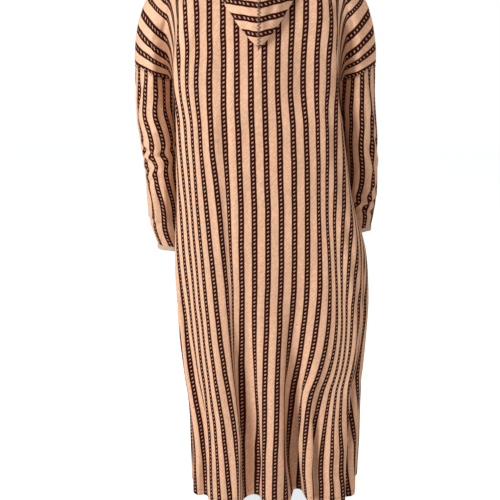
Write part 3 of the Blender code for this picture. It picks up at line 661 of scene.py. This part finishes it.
front_grids, front_cloth = panel("front", FRONT_CREASES)
centre = OUTER_CELLS + MIDDLE_CELLS // 2
row_heights = ARMPIT * np.linspace(0.0, 1.0, YOKE_CELLS + 1)
half_slit = 0.5 * SLIT_GAP * np.clip(1.0 - row_heights / SLIT_FOOT, 0.0, 1.0)
right_half, left_half = front_grids[0][:, : centre + 1].copy(), front_grids[0][:, centre:].copy()
right_half[:, -1, 0] -= half_slit
left_half[:, 0, 0] += half_slit
front = sew("front_cloth", [right_half, left_half, front_grids[1]],
            [front_cloth[0][:, : centre + 1], front_cloth[0][:, centre:], front_cloth[1]],
            (0.0, -0.14, -0.5), (0.0, -1.0, 0.0))
front.data.materials.append(striped)
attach(front, "root")
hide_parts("front")


# Sleeves
# Each sleeve is a tube of the same wool sewn to the dropped shoulder, its stripes running down the
# arm, closed by a seam under it. It hangs a little forward, crumples at the elbow and narrows to
# the cuff.
SLEEVES = {
    "left": np.array([
        (-0.300, 0.2590, -0.005, 0.0485, 0.0750),
        (-0.370, 0.2580, -0.002, 0.0480, 0.0690),
        (-0.450, 0.2525, 0.002, 0.0460, 0.0640),
        (-0.530, 0.2480, -0.006, 0.0410, 0.0600),
        (-0.600, 0.2465, -0.028, 0.0400, 0.0560),
        (-0.680, 0.2440, -0.062, 0.0395, 0.0500),
        (-0.745, 0.2300, -0.090, 0.0380, 0.0455)]),
    "right": np.array([
        (-0.300, -0.2460, -0.005, 0.0460, 0.0750),
        (-0.370, -0.2510, -0.003, 0.0440, 0.0690),
        (-0.450, -0.2590, 0.000, 0.0420, 0.0630),
        (-0.530, -0.2650, -0.012, 0.0400, 0.0580),
        (-0.600, -0.2690, -0.040, 0.0395, 0.0540),
        (-0.650, -0.2690, -0.078, 0.0390, 0.0500),
        (-0.700, -0.2660, -0.110, 0.0380, 0.0455)])}
SLEEVE_CELLS = 118

# Wrinkles: from across and up, to across and up, rise of the ridge, depth of the valley, width.
# Across is measured round the arm from its outside, positive towards the back of the arm.
SLEEVE_WRINKLES = {
    "left": np.array([
        (0.024, -0.452, 0.100, -0.486, 0.0048, 0.0056, 0.010),
        (0.008, -0.474, 0.084, -0.512, 0.0032, 0.0046, 0.011),
        (0.036, -0.500, 0.112, -0.474, 0.0036, 0.0056, 0.010),
        (0.012, -0.530, 0.097, -0.500, 0.0028, 0.0040, 0.011),
        (0.020, -0.556, 0.092, -0.528, 0.0026, 0.0036, 0.010),
        (0.060, -0.300, 0.034, -0.400, 0.0035, 0.0045, 0.010),
        (0.105, -0.300, 0.085, -0.430, 0.0035, 0.0050, 0.010),
        (0.010, -0.310, 0.004, -0.430, 0.0025, 0.0035, 0.011),
        (0.050, -0.560, 0.040, -0.700, 0.0025, 0.0035, 0.010),
        (0.085, -0.540, 0.070, -0.690, 0.0025, 0.0035, 0.009),
        (0.000, -0.575, 0.010, -0.720, 0.0020, 0.0030, 0.010),
        (-0.100, -0.470, -0.020, -0.492, 0.0035, 0.0045, 0.009),
        (-0.095, -0.510, -0.015, -0.522, 0.0035, 0.0040, 0.009),
        (-0.060, -0.320, -0.040, -0.430, 0.0030, 0.0040, 0.012),
        (-0.070, -0.560, -0.045, -0.700, 0.0025, 0.0035, 0.011),
        (-0.020, -0.655, 0.070, -0.672, 0.0016, 0.0022, 0.008)]),
    "right": np.array([
        (0.060, -0.290, 0.050, -0.400, 0.0045, 0.0050, 0.010),
        (0.025, -0.300, 0.044, -0.430, 0.0035, 0.0045, 0.010),
        (0.095, -0.300, 0.080, -0.420, 0.0035, 0.0050, 0.010),
        (0.050, -0.430, 0.010, -0.520, 0.0040, 0.0050, 0.010),
        (0.085, -0.440, 0.040, -0.540, 0.0040, 0.0050, 0.009),
        (0.024, -0.560, 0.078, -0.600, 0.0036, 0.0045, 0.010),
        (0.014, -0.600, 0.084, -0.632, 0.0034, 0.0046, 0.010),
        (0.022, -0.640, 0.087, -0.655, 0.0030, 0.0040, 0.009),
        (-0.090, -0.480, -0.010, -0.500, 0.0035, 0.0045, 0.009),
        (-0.080, -0.530, -0.005, -0.540, 0.0035, 0.0040, 0.009),
        (-0.060, -0.320, -0.030, -0.440, 0.0030, 0.0040, 0.012),
        (-0.070, -0.580, -0.030, -0.660, 0.0030, 0.0040, 0.010),
        (0.100, -0.560, 0.060, -0.660, 0.0030, 0.0040, 0.009)])}

# Where crumpled cloth throws the stripes sideways: height, reach up and down, way. A kink climbs
# by its lean towards the back of the arm.
STRIPE_KINKS = {
    "left": ((-0.502, 0.011, 0.0060), (-0.530, 0.013, -0.0055), (-0.405, 0.030, 0.0045)),
    "right": ((-0.632, 0.010, 0.0055), (-0.655, 0.010, -0.0050), (-0.400, 0.030, -0.0045))}
KINK_LEAN = 0.25
STRIPE_SWAY = 0.0045
SLEEVE_SHIFT = {"left": 0.010, "right": 0.004}    # from the outside of the arm to the stripes' start


def sleeve_grid(side, ring):
    """A sleeve from its armhole ring to the cuff: each point goes straight down from the ring
    and eases into a bent, narrowing oval tube, keeping its turn round the arm."""
    table = SLEEVES[side]
    top, cuff = table[0], table[-1, 0]
    turn = np.arctan2((ring[:, 1] - top[2]) / top[4], (ring[:, 0] - top[1]) / top[3])
    down = np.linspace(0.0, 1.0, SLEEVE_CELLS + 1)[:, None]
    z = ring[:, 2] + (cuff - ring[:, 2]) * down
    middle_x, middle_y, wide, deep = np.moveaxis(down_table(table, np.clip(z, cuff, top[0])), -1, 0)
    tube = np.dstack([middle_x + wide * np.cos(turn), middle_y + deep * np.sin(turn), z])
    start = np.dstack([np.broadcast_to(ring[:, 0], z.shape), np.broadcast_to(ring[:, 1], z.shape), z])
    return start + (tube - start) * ease(0.0, 0.3, down)[:, :, None]


def out_of_sleeve(grid, sign):
    """Directions square to a sleeve's surface, all out of the sleeve."""
    way = outward(grid)
    return way if way[SLEEVE_CELLS // 2, OUTER_CELLS, 0] * sign >= 0 else -way


def make_sleeve(side, sign):
    """A sleeve with its wrinkles, and its places on the flat cloth: round the arm from its
    outside, and down, with a sway and kinks where crumpled cloth throws the stripes sideways."""
    outer = slice(-OUTER_CELLS - 1, None)
    back_top, back_low, front_top, front_low = (
        grid[:, ::sign] for grid in (back_grids[0], back_grids[1], front_grids[0], front_grids[1]))
    ring = np.concatenate([back_top[-1, outer], front_top[-1, outer][::-1][1:],
                           front_low[0, outer][1:], back_low[0, outer][::-1][1:]])
    grid = sleeve_grid(side, ring)
    walked = way_walked(grid, axis=1)
    across = walked[:, OUTER_CELLS][:, None] - walked
    up = grid[:, :, 2]
    small = (crease_heights(SLEEVE_WRINKLES[side], across, up)
             + waves(across, up, 31 + len(side), 0.040, 0.0026))
    free = ease(0.0, 0.06, np.linspace(0.0, 1.0, len(grid)))[:, None]
    under = np.minimum(np.abs(walked), np.abs(walked[:, -1:] - walked))
    small = small * free * ease(0.0, 0.012, under)
    shaped = grid + out_of_sleeve(grid, sign) * small[:, :, None]
    sway = STRIPE_SWAY * np.sin(up * 34.0 + 1.0) * ease(0.0, 0.15, ARMPIT - up)
    for height, reach, kink in STRIPE_KINKS[side]:
        sway = sway + kink * np.exp(-((up - height - KINK_LEAN * across) / reach) ** 2)
    flat = np.dstack([sign * (across + sway) + SLEEVE_SHIFT[side], -up + 0.004])
    return shaped, flat


sleeve_grids = {}
for side, sign in LEFT_AND_RIGHT.items():
    sleeve_grids[side], flat = make_sleeve(side, sign)
    height, x, y = SLEEVES[side][2, :3]
    sleeve = sew("sleeve_cloth_" + side, [sleeve_grids[side]], [flat],
                 (x + 0.05 * sign, y, height), (sign, 0.0, 0.0))
    sleeve.data.materials.append(striped)
    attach(sleeve, "root")
    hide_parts("sleeve_" + side)


# Cuff edgings
# A narrow strip of pale undyed wool folded over the end of each sleeve and sewn down, so it
# stands a little proud of the stripes and is rounded at its lower edge.
PALE_WOOL = (0.690, 0.545, 0.415, 1.0)
EDGING_WALL = 0.0016

# Across the strip: out a little from the sleeve, down its face and in round the lower edge
STRIP_RISE = np.array([0.0035, 0.0030, 0.0, -0.003, -0.006, -0.0085, -0.0098, -0.0100])
STRIP_PROUD = np.array([0.0000, 0.0012, 0.0016, 0.0018, 0.0018, 0.0013, 0.0004, -0.0008])


def pale_wool():
    """Undyed wool in a close cord: fine ribs across the strip, uneven yarn and a little fuzz."""
    material, tree, shader, height = textile("pale_wool", 0.25, 0.6, 0.0010)
    where = tree.nodes.new("ShaderNodeUVMap")
    where.uv_map = "cloth"
    split = tree.nodes.new("ShaderNodeSeparateXYZ")
    tree.links.new(where.outputs[0], split.inputs[0])
    lean = sums(tree, "ADD", split.outputs[0], sums(tree, "MULTIPLY", split.outputs[1], 0.6))
    rib = sums(tree, "MULTIPLY_ADD", sums(tree, "SINE", sums(tree, "MULTIPLY", lean, 3600.0)), 0.5, 0.5)
    yarn = add_node(tree, "ShaderNodeTexNoise", where.outputs[0], None, 420.0, 3.0, 0.6,
                    noise_dimensions="2D")
    shade = sums(tree, "MULTIPLY_ADD", rib, 0.16, sums(tree, "MULTIPLY_ADD", yarn, 0.30, 0.68))
    grey = add_node(tree, "ShaderNodeCombineColor", shade, shade, shade)
    tree.links.new(blend(tree, 1.0, PALE_WOOL, grey, "MULTIPLY"), shader["Base Color"])
    tree.links.new(sums(tree, "ADD", rib, yarn), height)
    tree.links.new(sums(tree, "MULTIPLY_ADD", yarn, 0.12, 0.80), shader["Roughness"])
    shader["Sheen Weight"].default_value = 0.2
    return material


pale = pale_wool()
for side, sign in LEFT_AND_RIGHT.items():
    edge = sleeve_grids[side][-1]
    along = np.roll(edge[:-1], -1, axis=0) - np.roll(edge[:-1], 1, axis=0)
    along = np.concatenate([along, along[:1]])
    out = np.cross(along, (0.0, 0.0, 1.0))
    out /= np.linalg.norm(out, axis=1)[:, None]
    if out[OUTER_CELLS, 0] * sign < 0:
        out = -out
    strip = edge[None] + out[None] * STRIP_PROUD[:, None, None]
    strip[:, :, 2] += STRIP_RISE[:, None]
    flat = np.dstack(np.broadcast_arrays(way_walked(edge)[None], -STRIP_RISE[:, None]))
    at_side = edge[OUTER_CELLS] + out[OUTER_CELLS] * 0.002 - (0.0, 0.0, 0.004)
    edging = sew("cuff_edging_cloth_" + side, [strip], [flat], at_side, out[OUTER_CELLS])
    edging.data.materials.append(pale)
    edging.modifiers["wall"].thickness = EDGING_WALL
    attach(edging, "root")
    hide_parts("cuff_edging_" + side)


# Hood
# Two mirrored halves of the same wool, joined by a crown seam down the middle and sewn to the
# neckline. Thrown back, it lies on the shoulders as an open pointed pouch with its stripes
# across, and its rim stands up round the neck.
HOOD_ROWS = 96
HOOD_TIP = -0.211          # height of its point
HOOD_SPREAD = 0.150        # half width of the pouch where it leaves the shoulders
HOOD_LEAN = 0.005          # the pouch hangs this much to the left at the shoulders
HOOD_TAPER = 1.33          # how the pouch narrows: 1 is a straight V
HOOD_CLEAR = 0.007         # from the back panel to the pouch
HOOD_SWELL = 0.040         # depth of the open pouch
HOOD_ROLL = 0.020          # rise of the cloth as it rolls over the neckline
HOOD_FLARE = 1.24          # how much wider the rim is than the neckline
HOOD_GAPE = 0.030          # how far the rim stands open behind the neck
HOOD_SHOULDER_LIFT = 1.1   # rise of its sides over the shoulders, for each metre of clearance
HOOD_RIM = 0.038           # height of the rim behind the neck
HOOD_STAND = 0.045         # height of the rim at the front of the neck
NECK_ROLL_OUT = 0.010      # how far the cloth rolls out past the neckline
HOOD_FOLD = 0.55           # how far along the cloth, from neckline to rim, the fold of the pouch is
HOOD_STRIPES = 0.166       # how far the stripes are moved up the pouch
HOOD_DIP = {"left": 0.14, "right": 0.24}    # drop of the stripes towards the crown seam
HOOD_DIP_REACH = 0.07

# Creases of the pouch: across and up from, across and up to, ridge, valley, width
HOOD_CREASES = np.array([
    (0.014, -0.190, 0.050, -0.070, 0.0025, 0.0030, 0.009),
    (-0.016, -0.185, -0.052, -0.080, 0.0022, 0.0030, 0.009),
    (0.060, -0.120, 0.110, -0.020, 0.0025, 0.0030, 0.011),
    (-0.064, -0.125, -0.112, -0.030, 0.0025, 0.0030, 0.011),
    (0.020, -0.090, 0.030, 0.010, 0.0018, 0.0022, 0.010),
    (-0.026, -0.100, -0.032, 0.000, 0.0018, 0.0022, 0.010)])

# Depth of the back panel on an even grid of heights and places, to lay the pouch on
lay_z = np.linspace(ARMPIT, 0.0, 121)
lay_x = np.linspace(-0.20, 0.20, 161)
lay_across = np.linspace(-CREASE_SEAT, CREASE_SEAT, 120)
lay_y = np.array([np.interp(lay_x, row[:, 0], row[:, 1], left=SIDE_Y, right=SIDE_Y)
                  for row in yoke_slices(lay_z, "back", lay_across)])


def back_surface(x, z):
    """Depth of the back panel at places seen from behind, between the nearest four of the grid."""
    i = (np.clip(z, lay_z[0], lay_z[-1]) - lay_z[0]) / (lay_z[1] - lay_z[0])
    j = (np.clip(x, lay_x[0], lay_x[-1]) - lay_x[0]) / (lay_x[1] - lay_x[0])
    i0 = np.clip(i.astype(int), 0, len(lay_z) - 2)
    j0 = np.clip(j.astype(int), 0, len(lay_x) - 2)
    i, j = i - i0, j - j0
    upper = lay_y[i0, j0] * (1 - j) + lay_y[i0, j0 + 1] * j
    lower = lay_y[i0 + 1, j0] * (1 - j) + lay_y[i0 + 1, j0 + 1] * j
    return upper * (1 - i) + lower * i


def hood_grid(ring):
    """The hood from the neck ring to its rim. Behind the neck each column rolls over, goes down
    the back to the fold of the pouch and up again to the rim. Round the front it only stands up
    from the neckline."""
    turn = np.arctan2(ring[:, 0], ring[:, 1] - SIDE_Y) / (0.5 * np.pi)
    side = np.clip(turn, -1.0, 1.0)
    behind = 1.0 - ease(0.72, 1.02, np.abs(turn))
    out = ring[:, :2] - (0.0, SIDE_Y)
    out = out / np.linalg.norm(out, axis=1)[:, None]
    roll = np.column_stack([ring[:, :2] + out * NECK_ROLL_OUT, ring[:, 2] + HOOD_ROLL])
    fold_x = HOOD_SPREAD * side
    fold_z = HOOD_TIP + (HOOD_ROLL - HOOD_TIP) * np.abs(side) ** HOOD_TAPER
    fold = np.column_stack([fold_x + HOOD_LEAN * np.abs(side),
                            back_surface(fold_x, fold_z) + HOOD_CLEAR + CLOTH, fold_z])
    inner = 0.5 * (roll + fold)
    inner[:, 2] += 0.3 * HOOD_ROLL
    inner[:, 1] = back_surface(inner[:, 0], inner[:, 2]) + HOOD_CLEAR
    rim_height = HOOD_STAND + (HOOD_RIM - HOOD_STAND) * behind
    gape = HOOD_GAPE * behind * (1.0 - side**2)
    rim = np.column_stack([ring[:, 0] * HOOD_FLARE, ring[:, 1] * HOOD_FLARE + gape,
                           ring[:, 2] + rim_height])
    outer = 0.5 * (fold + rim)
    outer[:, 1] += HOOD_SWELL * (1.0 - side**2)
    stand = np.column_stack([ring[:, :2] + out * NECK_ROLL_OUT, ring[:, 2] + 0.5 * rim_height])
    rows = np.linspace(0.0, 1.0, HOOD_ROWS + 1)
    pouch = curve_through(np.array([0.0, 0.11, 0.33, HOOD_FOLD, 0.78, 1.0]),
                          np.array([ring, roll, inner, fold, outer, rim]), rows)
    collar = curve_through(np.array([0.0, 0.5, 1.0]), np.array([ring, stand, rim]), rows)
    hood = collar + (pouch - collar) * behind[None, :, None]
    lift = (HOOD_CLEAR * ease(0.0, 0.12, rows))[:, None] * (1.0 + side**2)[None]
    low = back_surface(hood[:, :, 0], hood[:, :, 2] - HOOD_ROLL * side[None] ** 2) + lift
    hood[:, :, 1] += np.maximum(low - hood[:, :, 1], 0.0) * behind[None]
    hood[:, :, 2] += lift * HOOD_SHOULDER_LIFT * np.abs(side)[None] ** 3 * behind[None]
    return hood, behind


hood_grids = {}
front_halves = {"left": left_half, "right": right_half}
rows = np.linspace(0.0, 1.0, HOOD_ROWS + 1)[:, None]
fold_row = int(round(HOOD_FOLD * HOOD_ROWS))
for side, sign in LEFT_AND_RIGHT.items():
    front_neck = front_halves[side][0][::-sign]
    grid, behind = hood_grid(np.concatenate([back_grids[0][0, ::sign][centre:], front_neck[1:]]))
    x, z = grid[:, :, 0], grid[:, :, 2]
    way = outward(grid)
    if way[int(0.8 * HOOD_ROWS), 4, 1] < 0:
        way = -way
    small = crease_heights(HOOD_CREASES, x, z) + waves(x, z, 51 + len(side), 0.045, 0.0022)
    at_crown = np.linalg.norm(grid - grid[:, :1], axis=2)
    small = small * ease(0.50, 0.62, rows) * ease(0.0, 0.02, at_crown) * behind[None]
    small -= SEAM_DEPTH * (1.0 - ease(0.0, 0.006, at_crown)) * ease(0.1, 0.2, rows)
    hood_grids[side] = grid + way * small[:, :, None]
    # On the flat cloth: the stripes run across the pouch and dip a little at the crown seam
    outer_place = z + HOOD_STRIPES - HOOD_DIP[side] * np.minimum(np.abs(x), HOOD_DIP_REACH)
    walked = way_walked(grid)
    inner_place = outer_place[fold_row] - (walked[fold_row] - walked)
    flat = np.dstack([np.where(rows < HOOD_FOLD, inner_place, outer_place), x])
    hood = sew("hood_cloth_" + side, [hood_grids[side]], [flat],
               (0.02 * sign, 0.22, -0.08), (0.0, 1.0, 0.0))
    hood.data.materials.append(striped)
    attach(hood, "root")
    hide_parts("hood_" + side)


# Stitching
# Thread that holds the pieces together where it shows: a grey-brown zigzag over the crown seam of
# the hood with a small knot at its point, and dark running stitches along the armholes, round the
# hem and beside the slit of the front.
def thread_material(name, colour):
    """Twisted thread: a fine slanting twist in its tone and relief, and matt."""
    material, tree, shader, height = textile(name, 0.1, 0.5, 0.0004)
    where = tree.nodes.new("ShaderNodeTexCoord").outputs["Object"]
    twist = add_node(tree, "ShaderNodeTexWave", where, 420.0, 2.0, bands_direction="DIAGONAL")
    shade = sums(tree, "MULTIPLY_ADD", twist, 0.45, 0.70)
    grey = add_node(tree, "ShaderNodeCombineColor", shade, shade, shade)
    tree.links.new(blend(tree, 1.0, colour, grey, "MULTIPLY"), shader["Base Color"])
    tree.links.new(twist, height)
    shader["Roughness"].default_value = 0.75
    return material


STRAND_SIDES = 6
THREAD_CLEAR = 0.0002      # from the cloth's surface to the line of a stitch

# Running stitches: from one to the next, length, radius of the thread, rise in the middle
ARMHOLE_STITCH = (0.0065, 0.0042, 0.0007, 0.0007)
HEM_STITCH = (0.0090, 0.0040, 0.0006, 0.0005)
SLIT_STITCH = (0.0080, 0.0042, 0.0006, 0.0005)


def threads(name, starts, ends, out, radius, rise, material, node):
    """Closed strands of thread, one from each start to its end: six-sided, thickest in the
    middle, arched outwards by rise and sunk into the cloth at both ends."""
    way = (ends - starts) / np.linalg.norm(ends - starts, axis=1)[:, None]
    out = out - way * np.sum(out * way, axis=1)[:, None]
    out = out / np.linalg.norm(out, axis=1)[:, None]
    side = np.cross(way, out)
    # Five rings along each strand, then the point at each end
    t = np.array([0.05, 0.25, 0.50, 0.75, 0.95])
    swell = radius * np.array([0.55, 0.95, 1.0, 0.95, 0.55])
    turn = np.arange(STRAND_SIDES) * 2 * np.pi / STRAND_SIDES
    spine = (starts[:, None] + (ends - starts)[:, None] * t[None, :, None]
             + out[:, None] * (rise * 4 * t * (1 - t))[None, :, None])
    round_it = side[:, None] * np.cos(turn)[None, :, None] + out[:, None] * np.sin(turn)[None, :, None]
    rings = spine[:, :, None] + round_it[:, None] * swell[None, :, None, None]
    points = np.concatenate([rings.reshape(len(starts), -1, 3), starts[:, None], ends[:, None]], axis=1)
    j = np.arange(STRAND_SIDES)
    k = (j + 1) % STRAND_SIDES
    last_ring, start_point = STRAND_SIDES * (len(t) - 1), STRAND_SIDES * len(t)
    end_point = start_point + 1
    first = np.arange(0, last_ring, STRAND_SIDES)[:, None]
    after = first + STRAND_SIDES
    body = np.stack([first + j, after + j, after + k, first + k], axis=2).reshape(-1, 4)
    caps = np.concatenate([np.column_stack([np.full_like(j, start_point), j, k]),
                           np.column_stack([np.full_like(j, end_point), last_ring + k, last_ring + j])])
    base = (end_point + 1) * np.arange(len(starts))[:, None, None]
    faces = (body[None] + base).reshape(-1, 4).tolist() + (caps[None] + base).reshape(-1, 3).tolist()
    mesh = bpy.data.meshes.new(name)
    mesh.from_pydata(points.reshape(-1, 3).tolist(), [], faces)
    mesh.shade_smooth()
    strands = bpy.data.objects.new(name, mesh)
    bpy.context.scene.collection.objects.link(strands)
    mesh.materials.append(material)
    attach(strands, "root")
    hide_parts(node)


def at_places(places, along, points):
    """The points, or directions, at places along a line, evenly between the given ones."""
    return np.stack([np.interp(places, along, points[:, i]) for i in range(3)], axis=-1)


def running_stitches(name, line, out, pitch, length, radius, rise, node):
    """Dark stitches spaced evenly along a line of points, just clear of the cloth."""
    line = line + out * THREAD_CLEAR
    gone = way_walked(line)
    first = np.arange(0.5 * pitch, gone[-1] - length, pitch)
    threads(name, at_places(first, gone, line), at_places(first + length, gone, line),
            at_places(first + 0.5 * length, gone, out), radius, rise, dark_thread, node)


dark_thread = thread_material("dark_thread", (0.030, 0.012, 0.008, 1.0))
crown_thread = thread_material("crown_thread", (0.190, 0.120, 0.085, 1.0))

# Crown seam: the stitch goes from one side to the other every 4 mm down the outside of the pouch
STITCH_REACH, STITCH_PITCH = 0.0048, 0.0042
outer_rows = slice(int(0.56 * HOOD_ROWS), HOOD_ROWS - 3)
edges = {}
for side, sign in LEFT_AND_RIGHT.items():
    near_seam = hood_grids[side][outer_rows, :12]
    edges[side] = np.array([at_places(STITCH_REACH, sign * (row[:, 0] - row[0, 0]), row)
                            for row in near_seam])
seam = 0.5 * (edges["left"] + edges["right"])
gone = way_walked(seam)
places = np.arange(0.0, gone[-1], STITCH_PITCH)
zigzag = at_places(places, gone, edges["right"])
zigzag[::2] = at_places(places[::2], gone, edges["left"])
seam_out = np.tile((0.0, 0.97, 0.24), (len(zigzag) - 1, 1))
threads("crown_stitching", zigzag[:-1], zigzag[1:], seam_out, 0.0009, 0.0008, crown_thread, "hood_left")

# Knot at the point of the hood: three crossed strands and a loose end
tip = np.array([seam[0, 0], zigzag[0, 1] + 0.0010, zigzag[0, 2] - 0.0030])
knot_way = np.array([(0.0042, 0.0, 0.0020), (0.0040, 0.0, -0.0026), (0.0006, 0.0, 0.0048),
                     (0.0022, 0.0, -0.0085)])
knot_from = tip - knot_way * np.array([1.0, 1.0, 1.0, 0.0])[:, None]
threads("crown_knot", knot_from, tip + knot_way, np.tile((0.0, 1.0, 0.0), (4, 1)), 0.0013, 0.0020,
        crown_thread, "hood_left")

# Armholes, round each sleeve just below the seam
for side, sign in LEFT_AND_RIGHT.items():
    grid = sleeve_grids[side]
    running_stitches("armhole_stitching_" + side, grid[1], out_of_sleeve(grid, sign)[4],
                     *ARMHOLE_STITCH, "sleeve_" + side)

# Hem of both panels, 18 mm up, and the two edges of the slit
for name, grids, sign in (("back", back_grids, 1.0), ("front", front_grids, -1.0)):
    way = outward(grids[1]) * sign
    running_stitches("hem_stitching_" + name, grids[1][-3], way[-3], *HEM_STITCH, name)
for side, column in (("left", 3), ("right", -4)):
    half, slit_rows = front_halves[side], slice(2, 38)
    running_stitches("slit_stitching_" + side, half[slit_rows, column],
                     -outward(half)[slit_rows, column], *SLIT_STITCH, "front")


# Studio
# A plain pale floor under the hem and a pale surround, with one large soft light high on the left
# of the picture and a weak one opposite.
FLOOR_Z = HEM - 0.09
FLOOR_HALF = 6.0
floor_mesh = bpy.data.meshes.new("studio_floor")
corners = FLOOR_HALF * np.array([(-1, -1, 0), (1, -1, 0), (1, 1, 0), (-1, 1, 0)]) + (0.0, 0.0, FLOOR_Z)
floor_mesh.from_pydata(corners.tolist(), [], [(0, 1, 2, 3)])
floor = bpy.data.objects.new("studio_floor", floor_mesh)
bpy.context.scene.collection.objects.link(floor)
floor_material = bpy.data.materials.new("studio_floor")
floor_material.use_nodes = True
floor_tree = floor_material.node_tree
floor_look = floor_tree.nodes["Principled BSDF"].inputs
floor_look["Base Color"].default_value = (0.9, 0.9, 0.9, 1.0)
floor_look["Roughness"].default_value = 0.9
# The floor glows a little for the camera alone, so that it is as pale as the surround
floor_look["Emission Color"].default_value = (0.86, 0.95, 1.0, 1.0)
ray = floor_tree.nodes.new("ShaderNodeLightPath").outputs["Is Camera Ray"]
floor_tree.links.new(sums(floor_tree, "MULTIPLY", ray, 0.80), floor_look["Emission Strength"])
floor_mesh.materials.append(floor_material)

# Behind everything the camera sees white, and the robe gets a warm even glow
world = bpy.data.worlds.new("studio")
bpy.context.scene.world = world
world.use_nodes = True
sky = world.node_tree
glow = sky.nodes["Background"]
glow.inputs[0].default_value = (1.0, 0.80, 0.66, 1.0)
glow.inputs[1].default_value = 0.29
backdrop = sky.nodes.new("ShaderNodeBackground")
backdrop.inputs[0].default_value = (1.0, 1.0, 1.0, 1.0)
seen = sky.nodes.new("ShaderNodeMixShader")
sky.links.new(sky.nodes.new("ShaderNodeLightPath").outputs["Is Camera Ray"], seen.inputs[0])
sky.links.new(glow.outputs[0], seen.inputs[1])
sky.links.new(backdrop.outputs[0], seen.inputs[2])
sky.links.new(seen.outputs[0], sky.nodes["World Output"].inputs[0])


def soft_light(name, place, aim, size, power):
    """A square area light at a place, turned to face a point."""
    lamp = bpy.data.lights.new(name, "AREA")
    lamp.shape, lamp.size, lamp.energy = "SQUARE", size, power
    light = bpy.data.objects.new(name, lamp)
    light.location = place
    towards = np.array(aim) - np.array(place)
    flat_way = np.hypot(towards[0], towards[1])
    light.rotation_euler = (np.arctan2(flat_way, -towards[2]), 0.0, np.arctan2(-towards[0], towards[1]))
    bpy.context.scene.collection.objects.link(light)


soft_light("key", (2.5, 2.3, 0.9), (0.0, 0.0, -0.85), 1.0, 112.0)
soft_light("fill", (-2.2, 0.6, 1.6), (-0.2, 0.0, -0.2), 1.4, 26.0)

camera = bpy.data.objects.new("camera", bpy.data.cameras.new("camera"))
camera.location = (0.021, 2.55, -0.057)
camera.rotation_euler = (np.radians(75.0), 0.0, np.pi)
camera.data.lens, camera.data.sensor_width, camera.data.clip_start = 73.0, 36.0, 0.01
bpy.context.scene.collection.objects.link(camera)
bpy.context.scene.camera = camera
bpy.context.scene.view_settings.view_transform = "Standard"
